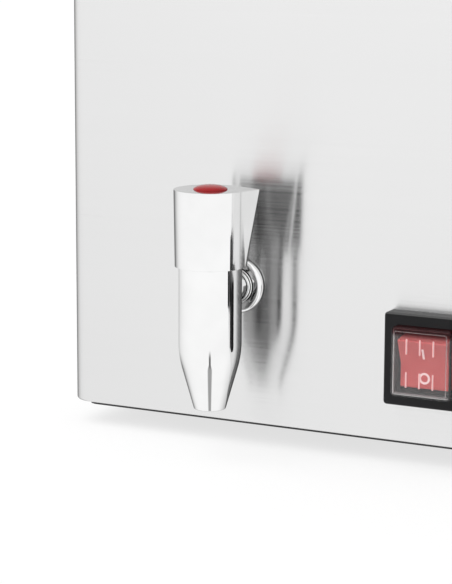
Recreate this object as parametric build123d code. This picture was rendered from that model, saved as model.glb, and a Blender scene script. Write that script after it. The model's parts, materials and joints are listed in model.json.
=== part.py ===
from build123d import *
import math
import os

# Electric bain-marie with a drain tap: a drawn water tank in a folded sheet casing.
# Millimetres. +X is right seen from the front, +Y goes into the machine and +Z is up.
# The origin is on the table, under the middle of the machine with its tap and gland.

# Casing sheet, clearances, and how far a cutter runs past the face that it opens
CASE_WIDTH = 338.0
CASE_DEPTH = 538.0
CASE_SHEET = 0.8
CORNER_RADIUS = 10.8
LOWER_FOLD_RADIUS = 1.0
FLANGE_WIDTH = 18.0
REAR_RETURN = 26.0
HOLE_CLEARANCE = 0.25
SEAT_CLEARANCE = 0.05
ASSEMBLY_GAP = 0.3
CUT = 1.0

# Base plate and feet
BASE_SHEET = 1.0
BASE_INSET = 6.0
BASE_LIP = 2.2
FOOT_HEIGHT = 9.0
FOOT_RADIUS = 14.0
FOOT_TAPER = 2.0
FOOT_FROM_SIDE = 50.0
FOOT_FROM_END = 62.0

# Fasteners: radius of the shank, and sizes of head and nut as multiples of it
M3_RADIUS = 1.5
M4_RADIUS = 2.0
HEAD_RATIO = 1.8
HEAD_HEIGHT_RATIO = 1.2
NUT_RATIO = 2.02
NUT_HEIGHT_RATIO = 1.6
SCREW_GRIP = 5.0
STUD_TIP = 1.0
HEAD_ROOM = 1.0
BASE_SCREW_SHARES = (0.2, 0.72)
REAR_SCREW_SHARES = (0.12, 0.5, 0.88)

# Water tank, for full-size pans
TANK_SHEET = 0.8
TANK_DEPTH = 172.0
TANK_CORNER_RADIUS = 30.0
TANK_FLOOR_RADIUS = 14.0
TANK_DRAFT = 1.0
RIM_BEND_RADIUS = 4.8
RIM_SKIRT = 9.8
SKIRT_CLEARANCE = 0.2
BRACKET_SHEET = 1.0
BRACKET_BEND = 4.0
LEDGE_CLEARANCE = 0.17
BRACKET_LENGTH = 30.0
BRACKET_DROP = 22.0
SIDE_BRACKET_SPREAD = 340.0
FRONT_BRACKET_SPREAD = 180.0

# Drain from tank to tap
TAIL_HEIGHT = 58.2
DRAIN_DROP = 9.0
DRAIN_FROM_FRONT = 52.0
DRAIN_BORE = 5.0
DRAIN_WALL = 1.0
DRAIN_BEND = 8.0
DRAIN_LEG = 12.0
HOSE_WALL = 1.4
HOSE_GRIP = 10.0
CLIP_WALL = 0.8
CLIP_WIDTH = 5.0

# Drain tap
TAP_FROM_SIDE = 83.4
TAP_REACH = 26.1
TAP_BODY_RADIUS = 12.84
TIP_DROP = 46.95
TIP_RADIUS = 6.5
TIP_BORE = 4.6
TIP_ROUND = 0.5
TIP_TAPER = 15.9
SHOULDER_ARC = 40.0
NECK_RADIUS = 6.2
NECK_BORE = 3.6
NECK_SHOULDER_RADIUS = 7.4
NECK_SHOULDER_LENGTH = 1.9
SHANK_RADIUS = 6.5
SHANK_LENGTH = 13.0
BARB_LENGTH = 13.0
COLLAR_RADIUS = 11.6
COLLAR_THICKNESS = 2.4
COLLAR_ROUND = 2.0
COLLAR_GROOVE = 0.5
WASHER_THICKNESS = 0.6
WASHER_MARGIN = 2.0
LOCK_NUT_ACROSS = 19.0
LOCK_NUT_HEIGHT = 5.0
PLUG_RADIUS = 7.95
PLUG_BORE = 4.6
PLUG_BELOW_TAIL = 10.0
PLUG_FLOAT = 0.2
SEAL_RADIUS = 0.85
SEAL_PITCH = 11.5
SEAL_RISE = 1.0
SEAL_SIDE_GAP = 0.1
STEM_RADIUS = 4.0
STEM_SQUARE = 5.6
BONNET_SPIGOT = 8.0
BONNET_WALL = 1.0
BONNET_ACROSS = 19.0
BONNET_HEX = 5.0
KNOB_GAP = 11.74
KNOB_HEIGHT = 31.15
KNOB_FOOT_RADIUS = 14.3
KNOB_TOP_RADIUS = 14.8
KNOB_FIN_FOOT = 0.45
KNOB_FIN_TOP = 5.0
KNOB_FIN_EDGE = 1.2
KNOB_CREASE_FOOT = 14.0
KNOB_CREASE_TOP = 32.0
KNOB_FIN_ANGLE = 27.0
KNOB_CROWN = 0.5
KNOB_OVERLAP = 12.0
KNOB_RUNNING_GAP = 0.4
KNOB_HEADROOM = 1.0
KNOB_WEB = 1.6
CAP_RADIUS = 6.9
CAP_SEAT = 2.4
CAP_RISE = 1.9
CAP_DOME_ANGLE = 80.0

# Rocker switch with a clear boot
SWITCH_HEIGHT = 35.4
FRAME_WIDTH = 35.0
FRAME_HEIGHT = 37.6
FRAME_DEPTH = 7.0
FRAME_CHAMFER = 0.7
FRAME_CORNER = 1.4
FRAME_LIP = 1.3
BOOT_WIDTH = 25.4
BOOT_HEIGHT = 28.2
BOOT_PROUD = 5.0
BOOT_WALL = 1.0
BOOT_EDGE = 1.6
BOOT_FLANGE = 0.8
BOOT_FLANGE_MARGIN = 1.2
BAR_HEIGHT = 6.3
BAR_WIDTH = 0.8
BAR_ROUND = 0.35
BAR_PROUD = 0.5
BAR_PITCH = 5.65
BAR_ROW_PITCH = 13.4
ROCKER_WIDTH = 20.6
ROCKER_HALF = 11.0
ROCKER_TRAVEL = 22.0
ROCKER_FACE = 6.3
ROCKER_OVER_PIVOT = 7.6
ROCKER_END_ROUND = 0.8
ROCKER_GAP = 0.4
PIVOT_RADIUS = 1.1
ROCKER_HUB = 2.75
HOUSING_WALL = 1.0
HOUSING_DEPTH = 22.0
BLADE_WIDTH = 6.3
BLADE_SHEET = 0.8
BLADE_LENGTH = 9.0
BLADE_PITCH = 11.0
BLADE_ROW_PITCH = 10.0

# Pilot lamp
LAMP_SHARE = 0.47
LAMP_RADIUS = 4.8
LAMP_BEZEL_RADIUS = 7.0
LAMP_BEZEL = 1.4
LAMP_DOME = 3.6
LAMP_ROUND = 2.9
LAMP_DEPTH = 18.0
LAMP_NUT_ACROSS = 14.0
LAMP_NUT_HEIGHT = 3.5

# Thermostat
DIAL_FROM_SIDE = 71.0
DIAL_HEIGHT = 37.0
DIAL_RADIUS = 26.5
DIAL_SHEET = 0.8
DIAL_KNOB_RADIUS = 18.6
DIAL_KNOB_WALL = 1.6
DIAL_SKIRT = 4.2
DIAL_GRIP_WIDTH = 9.0
DIAL_GRIP_HEIGHT = 13.0
DIAL_GRIP_RADIUS = 16.0
DIAL_GRIP_DRAFT = 3.0
DIAL_GRIP_ROUND = 1.5
DIAL_RUNNING_GAP = 0.8
SHAFT_RADIUS = 3.0
SHAFT_FLAT = 2.2
SHAFT_LENGTH = 14.0
SHAFT_IN_BODY = 8.0
DIAL_HUB_WALL = 2.6
THERMOSTAT_WIDTH = 44.0
THERMOSTAT_HEIGHT = 30.0
THERMOSTAT_DEPTH = 24.0
THERMOSTAT_BUSH = 5.0
BULB_RADIUS = 3.0
BULB_LENGTH = 90.0
BULB_ROUND = 2.4
BULB_FROM_CENTRE = 54.0
BULB_BEYOND_BEND = 37.0
CAPILLARY_RADIUS = 0.8
CAPILLARY_BEND = 8.0
CLIP_SHARES = (0.2, 0.75)
CLAMP_SHEET = 1.0

# Heating element under the tank
ELEMENT_RADIUS = 4.0
ELEMENT_PITCH = 70.0
ELEMENT_FROM_FRONT = 118.0
ELEMENT_RUN = 300.0
ELEMENT_TAIL = 26.0
PIN_RADIUS = 2.0
PIN_LENGTH = 12.0
CLAMP_WIDTH = 16.0
CLAMP_OVERHANG = 12.0
CLAMP_SHARES = (0.08, 0.5, 0.92)
STUD_TAIL = 3.0
CUTOUT_RADIUS = 8.0
CUTOUT_HEIGHT = 9.0
CUTOUT_SPREAD = 26.0
CUTOUT_FROM_FRONT = 250.0
SHIELD_SHEET = 0.8
SHIELD_HEIGHT = 30.0
SHIELD_WIDTH = 236.0
SHIELD_FROM_FRONT = 128.0
SHIELD_LENGTH = 250.0
SHIELD_FOOT = 12.0

# Electrics at the rear
BLOCK_WIDTH = 42.0
BLOCK_LENGTH = 22.0
BLOCK_HEIGHT = 17.0
BLOCK_POLES = 3
BLOCK_CORNER = 2.0
BLOCK_FROM_CENTRE = 62.0
BLOCK_FROM_REAR = 70.0
EARTH_FROM_CENTRE = 20.0
EARTH_HEIGHT = 15.0
GLAND_FROM_SIDE = 57.0
GLAND_HEIGHT = 32.0
GLAND_BORE = 4.5
GLAND_THREAD = 8.0
GLAND_TAIL = 10.0
GLAND_HEX_ACROSS = 22.0
GLAND_HEX = 5.0
GLAND_STUB = 6.0
GLAND_CAP = 9.0
GLAND_CAP_WALL = 2.0
GLAND_CAP_ROUND = 3.2
GLAND_NUT_HEIGHT = 4.5

# Vent slots and screws of the rear panel and base
REAR_MARGIN = 1.5
VENT_LENGTH = 34.0
VENT_WIDTH = 4.0
VENT_PITCH_X = 46.0
VENT_PITCH_Z = 10.0
VENT_COLUMNS = 4
VENT_ROWS = 3
VENT_HEIGHT = 196.0
BASE_VENT_PITCH = 22.0
BASE_VENT_ROWS = 5

# Levels worked out from the sizes above
LOWER_Z = FOOT_HEIGHT + BASE_SHEET
TAIL_Z = LOWER_Z + TAIL_HEIGHT
TANK_UNDER_Z = TAIL_Z + DRAIN_DROP
TANK_FLOOR_Z = TANK_UNDER_Z + TANK_SHEET
RIM_Z = TANK_FLOOR_Z + TANK_DEPTH
RIM_UNDER_Z = RIM_Z - TANK_SHEET
SKIRT_Z = RIM_Z - RIM_SKIRT
CASE_TOP_Z = RIM_Z - RIM_BEND_RADIUS - SKIRT_CLEARANCE

# Places worked out from the sizes above
TAP_PROJECTION = TAP_REACH + KNOB_TOP_RADIUS
GLAND_PROJECTION = CASE_SHEET + GLAND_HEX + GLAND_CAP
FRONT_Y = (TAP_PROJECTION - CASE_DEPTH - GLAND_PROJECTION) / 2
REAR_Y = FRONT_Y + CASE_DEPTH
MID_Y = (FRONT_Y + REAR_Y) / 2
TAP_X = TAP_FROM_SIDE - CASE_WIDTH / 2
TAP_Y = FRONT_Y - TAP_REACH
DRAIN_Y = FRONT_Y + DRAIN_FROM_FRONT
SWITCH_Z = LOWER_Z + SWITCH_HEIGHT
DIAL_X = CASE_WIDTH / 2 - DIAL_FROM_SIDE
GLAND_X = CASE_WIDTH / 2 - GLAND_FROM_SIDE
DIAL_Z = LOWER_Z + DIAL_HEIGHT
LAMP_X = DIAL_X * LAMP_SHARE
GLAND_Z = LOWER_Z + GLAND_HEIGHT
DRAIN_RADIUS = DRAIN_BORE + DRAIN_WALL
HOLE_RADIUS = M4_RADIUS + HOLE_CLEARANCE

CENTRED = (Align.CENTER, Align.CENTER, Align.CENTER)
STANDING = (Align.CENTER, Align.CENTER, Align.MIN)
HANGING = (Align.CENTER, Align.CENTER, Align.MAX)


def save(name, *shapes):
    """Write one node: every solid of the given shapes, as separate solids."""
    solids = [solid for shape in shapes for solid in shape.solids()]
    whole = solids[0] if len(solids) == 1 else Compound(solids)
    export_step(whole, f"parts/{name}.step")


def front_plane(x, z, proud=0.0):
    """Plane on the front panel, its normal pointing out of the machine."""
    return Plane(origin=(x, FRONT_Y - proud, z), x_dir=(1, 0, 0), z_dir=(0, -1, 0))


def rear_plane(x, z, proud=0.0):
    """Plane on the rear of the casing, its normal pointing out of the machine."""
    return Plane(origin=(x, REAR_Y + proud, z), x_dir=(-1, 0, 0), z_dir=(0, 1, 0))


def post(plane, radius, low, high):
    """Round bar along a plane's normal, between two heights."""
    return plane * Pos(0, 0, low) * Cylinder(radius, high - low, align=STANDING)


def tube(plane, outer, inner, low, high):
    """Round tube along a plane's normal, between two heights."""
    return post(plane, outer, low, high) - post(plane, inner, low - CUT, high + CUT)


def slab(plane, width, height, corner, low, high):
    """Rounded rectangular block along a plane's normal, between two heights."""
    return plane * Pos(0, 0, low) * extrude(RectangleRounded(width, height, corner), high - low)


def hexagon(plane, across, low, high):
    """Hexagonal block of a given size across its flats."""
    corner_radius = across / 2 / math.cos(math.radians(30))
    return plane * Pos(0, 0, low) * extrude(RegularPolygon(corner_radius, 6), high - low)


def flat_plane(x, y, z):
    """Horizontal plane with its normal up."""
    return Plane(origin=(x, y, z))


def under_plane(x, y, z):
    """Horizontal plane with its normal down."""
    return Plane(origin=(x, y, z), x_dir=(1, 0, 0), z_dir=(0, 0, -1))


def pan_screw(plane, grip, radius=M4_RADIUS):
    """Pan-head screw whose head sits on the plane and whose shank goes in behind it."""
    head_height = radius * HEAD_HEIGHT_RATIO
    head = Cylinder(radius * HEAD_RATIO, head_height, align=STANDING)
    head = fillet(head.edges().sort_by(Axis.Z)[-1], head_height / 2)
    return plane * (head + Cylinder(radius, grip, align=HANGING))


def hex_nut(plane, radius=M4_RADIUS):
    """Hexagonal nut standing on the plane round a stud of the given radius."""
    height = radius * NUT_HEIGHT_RATIO
    across = radius * NUT_RATIO * 2 * math.cos(math.radians(30))
    body = hexagon(plane, across, 0, height)
    return body - post(plane, radius + SEAT_CLEARANCE, -CUT, height + CUT)


def corner_places(spread_x, spread_y):
    """Four places round the middle of the casing, in plan."""
    return [(x, MID_Y + y) for x in (-spread_x / 2, spread_x / 2) for y in (-spread_y / 2, spread_y / 2)]


def case_outline(inset):
    """Plan outline of the casing, drawn in by an inset."""
    return RectangleRounded(CASE_WIDTH - 2 * inset, CASE_DEPTH - 2 * inset, CORNER_RADIUS - inset)


# Fastener places shared by the sheets that they join

HEAD_RADIUS = M4_RADIUS * HEAD_RATIO
FOOT_POCKET = FOOT_HEIGHT / 2
BASE_SCREW_X = CASE_WIDTH / 2 - BASE_INSET - BASE_SHEET - HEAD_RADIUS - 2 * ASSEMBLY_GAP
REAR_SCREW_X = CASE_WIDTH / 2 - (CORNER_RADIUS + REAR_RETURN) / 2
BASE_SCREW_PLACES = [
    place for share in BASE_SCREW_SHARES for place in corner_places(2 * BASE_SCREW_X, CASE_DEPTH * share)
]
FOOT_PLACES = corner_places(CASE_WIDTH - 2 * FOOT_FROM_SIDE, CASE_DEPTH - 2 * FOOT_FROM_END)
FOOT_NAMES = ("foot_front_left", "foot_rear_left", "foot_front_right", "foot_rear_right")
REAR_SCREW_PLACES = [
    (side * REAR_SCREW_X, LOWER_Z + share * (SKIRT_Z - LOWER_Z))
    for side in (-1, 1)
    for share in REAR_SCREW_SHARES
]
DIAL_HOLLOW_RADIUS = DIAL_KNOB_RADIUS - 2 * DIAL_KNOB_WALL
DIAL_SCREW_OFFSET = DIAL_HOLLOW_RADIUS - HEAD_RADIUS - DIAL_RUNNING_GAP
DIAL_SCREW_PLACES = [(DIAL_X + side * DIAL_SCREW_OFFSET, DIAL_Z) for side in (-1, 1)]
RIM_NUT_RADIUS = M3_RADIUS * NUT_RATIO
RIM_STUD_OFFSET = CASE_SHEET + BRACKET_BEND + LEDGE_CLEARANCE + RIM_NUT_RADIUS
RIM_LEDGE = RIM_STUD_OFFSET + RIM_NUT_RADIUS + LEDGE_CLEARANCE + RIM_BEND_RADIUS


# Casing sheets

def casing_wrap():
    """Front and both sides in one folded sheet, with bottom and rear flanges."""
    height = CASE_TOP_Z - LOWER_Z
    outer = flat_plane(0, MID_Y, LOWER_Z) * extrude(case_outline(0), height)
    outer = fillet(outer.faces().sort_by(Axis.Z)[0].edges(), LOWER_FOLD_RADIUS)
    inner = flat_plane(0, MID_Y, LOWER_Z + CASE_SHEET) * extrude(case_outline(CASE_SHEET), height)
    inner = fillet(inner.faces().sort_by(Axis.Z)[0].edges(), LOWER_FOLD_RADIUS - CASE_SHEET)
    well = flat_plane(0, MID_Y, 0) * Box(
        CASE_WIDTH - 2 * FLANGE_WIDTH, CASE_DEPTH - 2 * FLANGE_WIDTH, 4 * LOWER_Z, align=CENTRED
    )
    back = flat_plane(0, REAR_Y, 0) * Box(
        CASE_WIDTH - 2 * REAR_RETURN, 2 * REAR_RETURN, 2 * RIM_Z, align=CENTRED
    )
    sheet = outer - inner - well - back
    through = 2 * CASE_SHEET
    holes = [
        post(front_plane(TAP_X, TAIL_Z), SHANK_RADIUS + HOLE_CLEARANCE, -through, through),
        slab(front_plane(0, SWITCH_Z), HOUSING_WIDTH + 2 * HOLE_CLEARANCE,
             HOUSING_HEIGHT + 2 * HOLE_CLEARANCE, ROCKER_END_ROUND, -through, through),
        post(front_plane(LAMP_X, SWITCH_Z), LAMP_RADIUS + HOLE_CLEARANCE, -through, through),
        post(front_plane(DIAL_X, DIAL_Z), THERMOSTAT_BUSH + HOLE_CLEARANCE, -through, through),
    ]
    holes += [post(front_plane(x, z), HOLE_RADIUS, -through, through) for x, z in DIAL_SCREW_PLACES]
    holes += [post(rear_plane(x, z), HOLE_RADIUS, -through, through) for x, z in REAR_SCREW_PLACES]
    holes += [post(flat_plane(x, y, LOWER_Z), HOLE_RADIUS, -through, through) for x, y in BASE_SCREW_PLACES]
    return sheet - holes


def rear_panel():
    """Flat rear sheet on the return flanges, with a bottom flange and vent slots."""
    width = CASE_WIDTH - 2 * (CORNER_RADIUS + REAR_MARGIN)
    top = SKIRT_Z - REAR_MARGIN
    middle = (LOWER_Z + top) / 2
    sheet = slab(rear_plane(0, middle), width, top - LOWER_Z, REAR_MARGIN, 0, CASE_SHEET)
    shelf_width = CASE_WIDTH - 2 * (REAR_RETURN + REAR_MARGIN)
    shelf_plane = flat_plane(0, REAR_Y - FLANGE_WIDTH / 2 + CASE_SHEET / 2, LOWER_Z)
    shelf = shelf_plane * Box(shelf_width, FLANGE_WIDTH + CASE_SHEET, CASE_SHEET, align=STANDING)
    through = 2 * CASE_SHEET
    holes = [post(rear_plane(x, z), HOLE_RADIUS, -through, through) for x, z in REAR_SCREW_PLACES]
    gland_radius = GLAND_THREAD + HOLE_CLEARANCE
    holes.append(post(rear_plane(GLAND_X, GLAND_Z), gland_radius, -through, through))
    vent = extrude(SlotOverall(VENT_LENGTH, VENT_WIDTH), through, both=True)
    vent_plane = rear_plane(0, LOWER_Z + VENT_HEIGHT)
    vent_grid = GridLocations(VENT_PITCH_X, VENT_PITCH_Z, VENT_COLUMNS, VENT_ROWS)
    holes += [vent_plane * place * vent for place in vent_grid]
    return sheet + shelf - holes


def rear_panel_screws():
    """Screws that hold the rear panel to the return flanges."""
    return [pan_screw(rear_plane(x, z, CASE_SHEET), SCREW_GRIP) for x, z in REAR_SCREW_PLACES]


def base_plate():
    """Recessed bottom tray with a lip turned down, vent slots and holes for the feet."""
    plate = flat_plane(0, MID_Y, LOWER_Z - BASE_LIP) * extrude(case_outline(BASE_INSET), BASE_LIP)
    under = flat_plane(0, MID_Y, LOWER_Z - BASE_SHEET)
    hollow = under * extrude(case_outline(BASE_INSET + BASE_SHEET), -BASE_LIP)
    through = 4 * BASE_SHEET
    holes = [
        post(flat_plane(x, y, LOWER_Z), HOLE_RADIUS, -through, through)
        for x, y in BASE_SCREW_PLACES + FOOT_PLACES + BLOCK_SCREW_PLACES + [EARTH_PLACE]
    ]
    vent = Rot(0, 0, 90) * extrude(SlotOverall(VENT_LENGTH, VENT_WIDTH), through, both=True)
    vent_grid = GridLocations(BASE_VENT_PITCH, 3 * VENT_LENGTH, BASE_VENT_ROWS, 2)
    holes += [flat_plane(0, MID_Y, LOWER_Z) * place * vent for place in vent_grid]
    return plate - hollow - holes


def base_screws():
    """Screws from below through the base plate into the bottom flanges."""
    level = LOWER_Z - BASE_SHEET
    return [pan_screw(under_plane(x, y, level), SCREW_GRIP) for x, y in BASE_SCREW_PLACES]


def foot(x, y):
    """Tapered rubber foot with a counterbore for its screw."""
    cone = Cone(FOOT_RADIUS - FOOT_TAPER, FOOT_RADIUS, FOOT_HEIGHT, align=STANDING)
    cone = fillet(cone.edges().sort_by(Axis.Z)[0], FOOT_TAPER / 2)
    bore = Cylinder(HOLE_RADIUS, FOOT_HEIGHT, align=STANDING)
    pocket = Cylinder(HEAD_RADIUS + HEAD_ROOM, FOOT_POCKET, align=STANDING)
    return flat_plane(x, y, 0) * (cone - bore - pocket)


def foot_screws():
    """Screws up through the feet and the base plate."""
    grip = FOOT_HEIGHT - FOOT_POCKET + BASE_SHEET + M4_RADIUS * NUT_HEIGHT_RATIO + STUD_TIP
    return [pan_screw(under_plane(x, y, FOOT_POCKET), grip) for x, y in FOOT_PLACES]


def foot_nuts():
    """Nuts on the base plate over the feet."""
    return [hex_nut(flat_plane(x, y, LOWER_Z)) for x, y in FOOT_PLACES]


# Water tank and what hangs under its rim

def tank_well(grow, level):
    """Tapered well with rounded corners, its floor at the given level, grown outwards."""
    width = CASE_WIDTH - 2 * RIM_LEDGE + 2 * grow
    length = CASE_DEPTH - 2 * RIM_LEDGE + 2 * grow
    mouth = RectangleRounded(width, length, TANK_CORNER_RADIUS + grow)
    well = extrude(mouth, RIM_Z - level, dir=(0, 0, -1), taper=TANK_DRAFT)
    well = fillet(well.faces().sort_by(Axis.Z)[0].edges(), TANK_FLOOR_RADIUS + grow)
    return flat_plane(0, MID_Y, RIM_Z) * well


def rim_block(inset, low, high, bend):
    """Block of the rim's plan with a rounded top edge."""
    reach = SKIRT_CLEARANCE + TANK_SHEET - inset
    corner = CORNER_RADIUS + reach
    outline = RectangleRounded(CASE_WIDTH + 2 * reach, CASE_DEPTH + 2 * reach, corner)
    block = flat_plane(0, MID_Y, low) * extrude(outline, high - low)
    return fillet(block.faces().sort_by(Axis.Z)[-1].edges(), bend)


def mouth_edges(tank, level):
    """Edges of the tank at the given height that run round the mouth of its well."""
    half_width = CASE_WIDTH / 2 - RIM_LEDGE / 2
    half_length = CASE_DEPTH / 2 - RIM_LEDGE / 2
    return [
        edge
        for edge in tank.edges()
        if abs(edge.center().Z - level) < SEAT_CLEARANCE
        and abs(edge.center().X) < half_width
        and abs(edge.center().Y - MID_Y) < half_length
    ]


def water_tank():
    """Drawn tank with a flat rim, a skirt turned down over the casing and a drain hole."""
    skirt = rim_block(0, SKIRT_Z, RIM_Z, RIM_BEND_RADIUS)
    skirt -= rim_block(TANK_SHEET, SKIRT_Z - CUT, RIM_UNDER_Z, RIM_BEND_RADIUS - TANK_SHEET)
    tank = skirt + tank_well(TANK_SHEET, TANK_UNDER_Z)
    tank = fillet(mouth_edges(tank, RIM_UNDER_Z), RIM_BEND_RADIUS - TANK_SHEET)
    tank -= tank_well(0, TANK_FLOOR_Z)
    tank = fillet(mouth_edges(tank, RIM_Z), RIM_BEND_RADIUS)
    return tank - post(flat_plane(TAP_X, DRAIN_Y, TANK_FLOOR_Z), DRAIN_BORE, -4 * TANK_SHEET, TANK_SHEET)


RIM_STUD_LENGTH = BRACKET_SHEET + M3_RADIUS * NUT_HEIGHT_RATIO + STUD_TIP


def rim_places():
    """Plane of each bracket, with +X towards the wall that it is fixed to."""
    places = []
    for side, turn in ((1, 0), (-1, 180)):
        for end in (-1, 1):
            y = MID_Y + end * SIDE_BRACKET_SPREAD / 2
            places.append(Pos(side * CASE_WIDTH / 2, y, 0) * Rot(0, 0, turn))
    for side in (-1, 1):
        places.append(Pos(side * FRONT_BRACKET_SPREAD / 2, FRONT_Y, 0) * Rot(0, 0, -90))
    return places


def rim_bracket(place):
    """Angle bracket between the rim's underside and the inside of the casing."""
    leg = RIM_STUD_OFFSET + RIM_NUT_RADIUS - CASE_SHEET
    corners = (
        (0, 0), (-leg, 0), (-leg, -BRACKET_SHEET),
        (-BRACKET_SHEET, -BRACKET_SHEET), (-BRACKET_SHEET, -BRACKET_DROP), (0, -BRACKET_DROP),
    )
    profile = Plane.XZ * Polyline(*corners, close=True)
    angle = extrude(make_face(profile), BRACKET_LENGTH / 2, both=True)
    upright = angle.edges().filter_by(Axis.Y)
    inside = upright.sort_by_distance((-BRACKET_SHEET, 0, -BRACKET_SHEET))[0]
    angle = fillet(inside, BRACKET_BEND - BRACKET_SHEET)
    outside = angle.edges().filter_by(Axis.Y).sort_by_distance((0, 0, 0))[0]
    angle = fillet(outside, BRACKET_BEND)
    hole_radius = M3_RADIUS + HOLE_CLEARANCE
    hole = Pos(CASE_SHEET - RIM_STUD_OFFSET, 0, 0) * Cylinder(hole_radius, 4 * BRACKET_SHEET)
    return place * Pos(-CASE_SHEET, 0, RIM_UNDER_Z) * (angle - hole)


def rim_brackets():
    """Brackets along the sides and the front."""
    return [rim_bracket(place) for place in rim_places()]


def rim_stud_planes(level):
    """Downward plane of each rim stud at the given height."""
    points = [(place * Pos(-RIM_STUD_OFFSET, 0, level)).position for place in rim_places()]
    return [under_plane(point.X, point.Y, point.Z) for point in points]


def rim_nuts():
    """Nuts on the rim studs, under the brackets."""
    return [hex_nut(plane, M3_RADIUS) for plane in rim_stud_planes(RIM_UNDER_Z - BRACKET_SHEET)]


# Heating element and its clamps

ELEMENT_Z = TANK_UNDER_Z - ASSEMBLY_GAP - ELEMENT_RADIUS
ELEMENT_Y0 = FRONT_Y + ELEMENT_FROM_FRONT + ELEMENT_PITCH / 2
ELEMENT_Y1 = ELEMENT_Y0 + ELEMENT_RUN
ELEMENT_TAIL_Y = ELEMENT_Y1 + ELEMENT_PITCH / 2 + ELEMENT_TAIL
CLAMP_Z = ELEMENT_Z - ELEMENT_RADIUS - ASSEMBLY_GAP
CLAMP_LENGTH = 3 * ELEMENT_PITCH + 2 * (ELEMENT_RADIUS + CLAMP_OVERHANG)
CLAMP_YS = [ELEMENT_Y0 + share * ELEMENT_RUN for share in CLAMP_SHARES]
CLAMP_STUD_XS = (-ELEMENT_PITCH, 0, ELEMENT_PITCH)
CLAMP_STUD_PLACES = [(x, y) for y in CLAMP_YS for x in CLAMP_STUD_XS]
CUTOUT_Y = FRONT_Y + CUTOUT_FROM_FRONT
CUTOUT_STUD_PLACES = [(side * CUTOUT_SPREAD / 2, CUTOUT_Y) for side in (-1, 1)]
CUTOUT_EAR_Z = TANK_UNDER_Z - CUTOUT_HEIGHT / 3
BULB_Y0 = ELEMENT_Y0 + BULB_BEYOND_BEND
BULB_Z = TANK_UNDER_Z - ASSEMBLY_GAP - BULB_RADIUS


def heating_element():
    """Sheathed tube bent into four runs under the tank floor."""
    outer_x = 1.5 * ELEMENT_PITCH
    inner_x = 0.5 * ELEMENT_PITCH
    path = Line((-outer_x, ELEMENT_TAIL_Y), (-outer_x, ELEMENT_Y0))
    bend_y = ELEMENT_Y0 - inner_x
    path += ThreePointArc((-outer_x, ELEMENT_Y0), (-ELEMENT_PITCH, bend_y), (-inner_x, ELEMENT_Y0))
    path += Line((-inner_x, ELEMENT_Y0), (-inner_x, ELEMENT_Y1))
    path += ThreePointArc((-inner_x, ELEMENT_Y1), (0, ELEMENT_Y1 + inner_x), (inner_x, ELEMENT_Y1))
    path += Line((inner_x, ELEMENT_Y1), (inner_x, ELEMENT_Y0))
    path += ThreePointArc((inner_x, ELEMENT_Y0), (ELEMENT_PITCH, bend_y), (outer_x, ELEMENT_Y0))
    path += Line((outer_x, ELEMENT_Y0), (outer_x, ELEMENT_TAIL_Y))
    section = Plane(origin=(-outer_x, ELEMENT_TAIL_Y, 0), z_dir=(0, -1, 0)) * Circle(ELEMENT_RADIUS)
    return Pos(0, 0, ELEMENT_Z) * sweep(section, path=path)


def element_terminals():
    """Terminal pins in ceramic beads at the two ends of the element."""
    pins = []
    for side in (-1, 1):
        end = Plane(origin=(side * 1.5 * ELEMENT_PITCH, ELEMENT_TAIL_Y, ELEMENT_Z), z_dir=(0, 1, 0))
        pins.append(post(end, ELEMENT_RADIUS, 0, PIN_LENGTH / 3) + post(end, PIN_RADIUS, 0, PIN_LENGTH))
    return pins


def element_clamps():
    """Flat bars that press the element against the tank."""
    bars = []
    for y in CLAMP_YS:
        bar = slab(under_plane(0, y, CLAMP_Z), CLAMP_LENGTH, CLAMP_WIDTH, CLAMP_WIDTH / 4, 0, CLAMP_SHEET)
        for x in CLAMP_STUD_XS:
            bar -= post(under_plane(x, y, CLAMP_Z), HOLE_RADIUS, -CUT, CLAMP_SHEET + CUT)
        bars.append(bar)
    return bars


def weld_studs():
    """Studs welded under the rim and under the tank floor."""
    studs = [post(plane, M3_RADIUS, 0, RIM_STUD_LENGTH) for plane in rim_stud_planes(RIM_UNDER_Z)]
    clip_end = CLAMP_SHEET + M4_RADIUS * NUT_HEIGHT_RATIO + STUD_TIP
    clamp_end = TANK_UNDER_Z - CLAMP_Z + clip_end + STUD_TAIL
    ear_end = TANK_UNDER_Z - CUTOUT_EAR_Z + clip_end
    lengths = ((CLAMP_STUD_PLACES, clamp_end), (CUTOUT_STUD_PLACES, ear_end), (CLIP_STUD_PLACES, clip_end))
    for places, length in lengths:
        studs += [post(under_plane(x, y, TANK_UNDER_Z), M4_RADIUS, 0, length) for x, y in places]
    return studs


def element_nuts():
    """Nuts under the clamps, the cut-out's ears and the bulb clips."""
    nuts = [hex_nut(under_plane(x, y, CLAMP_Z - CLAMP_SHEET)) for x, y in CLAMP_STUD_PLACES]
    nuts += [hex_nut(under_plane(x, y, CUTOUT_EAR_Z - CLAMP_SHEET)) for x, y in CUTOUT_STUD_PLACES]
    nuts += [hex_nut(under_plane(x, y, TANK_UNDER_Z - CLAMP_SHEET)) for x, y in CLIP_STUD_PLACES]
    return nuts


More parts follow.
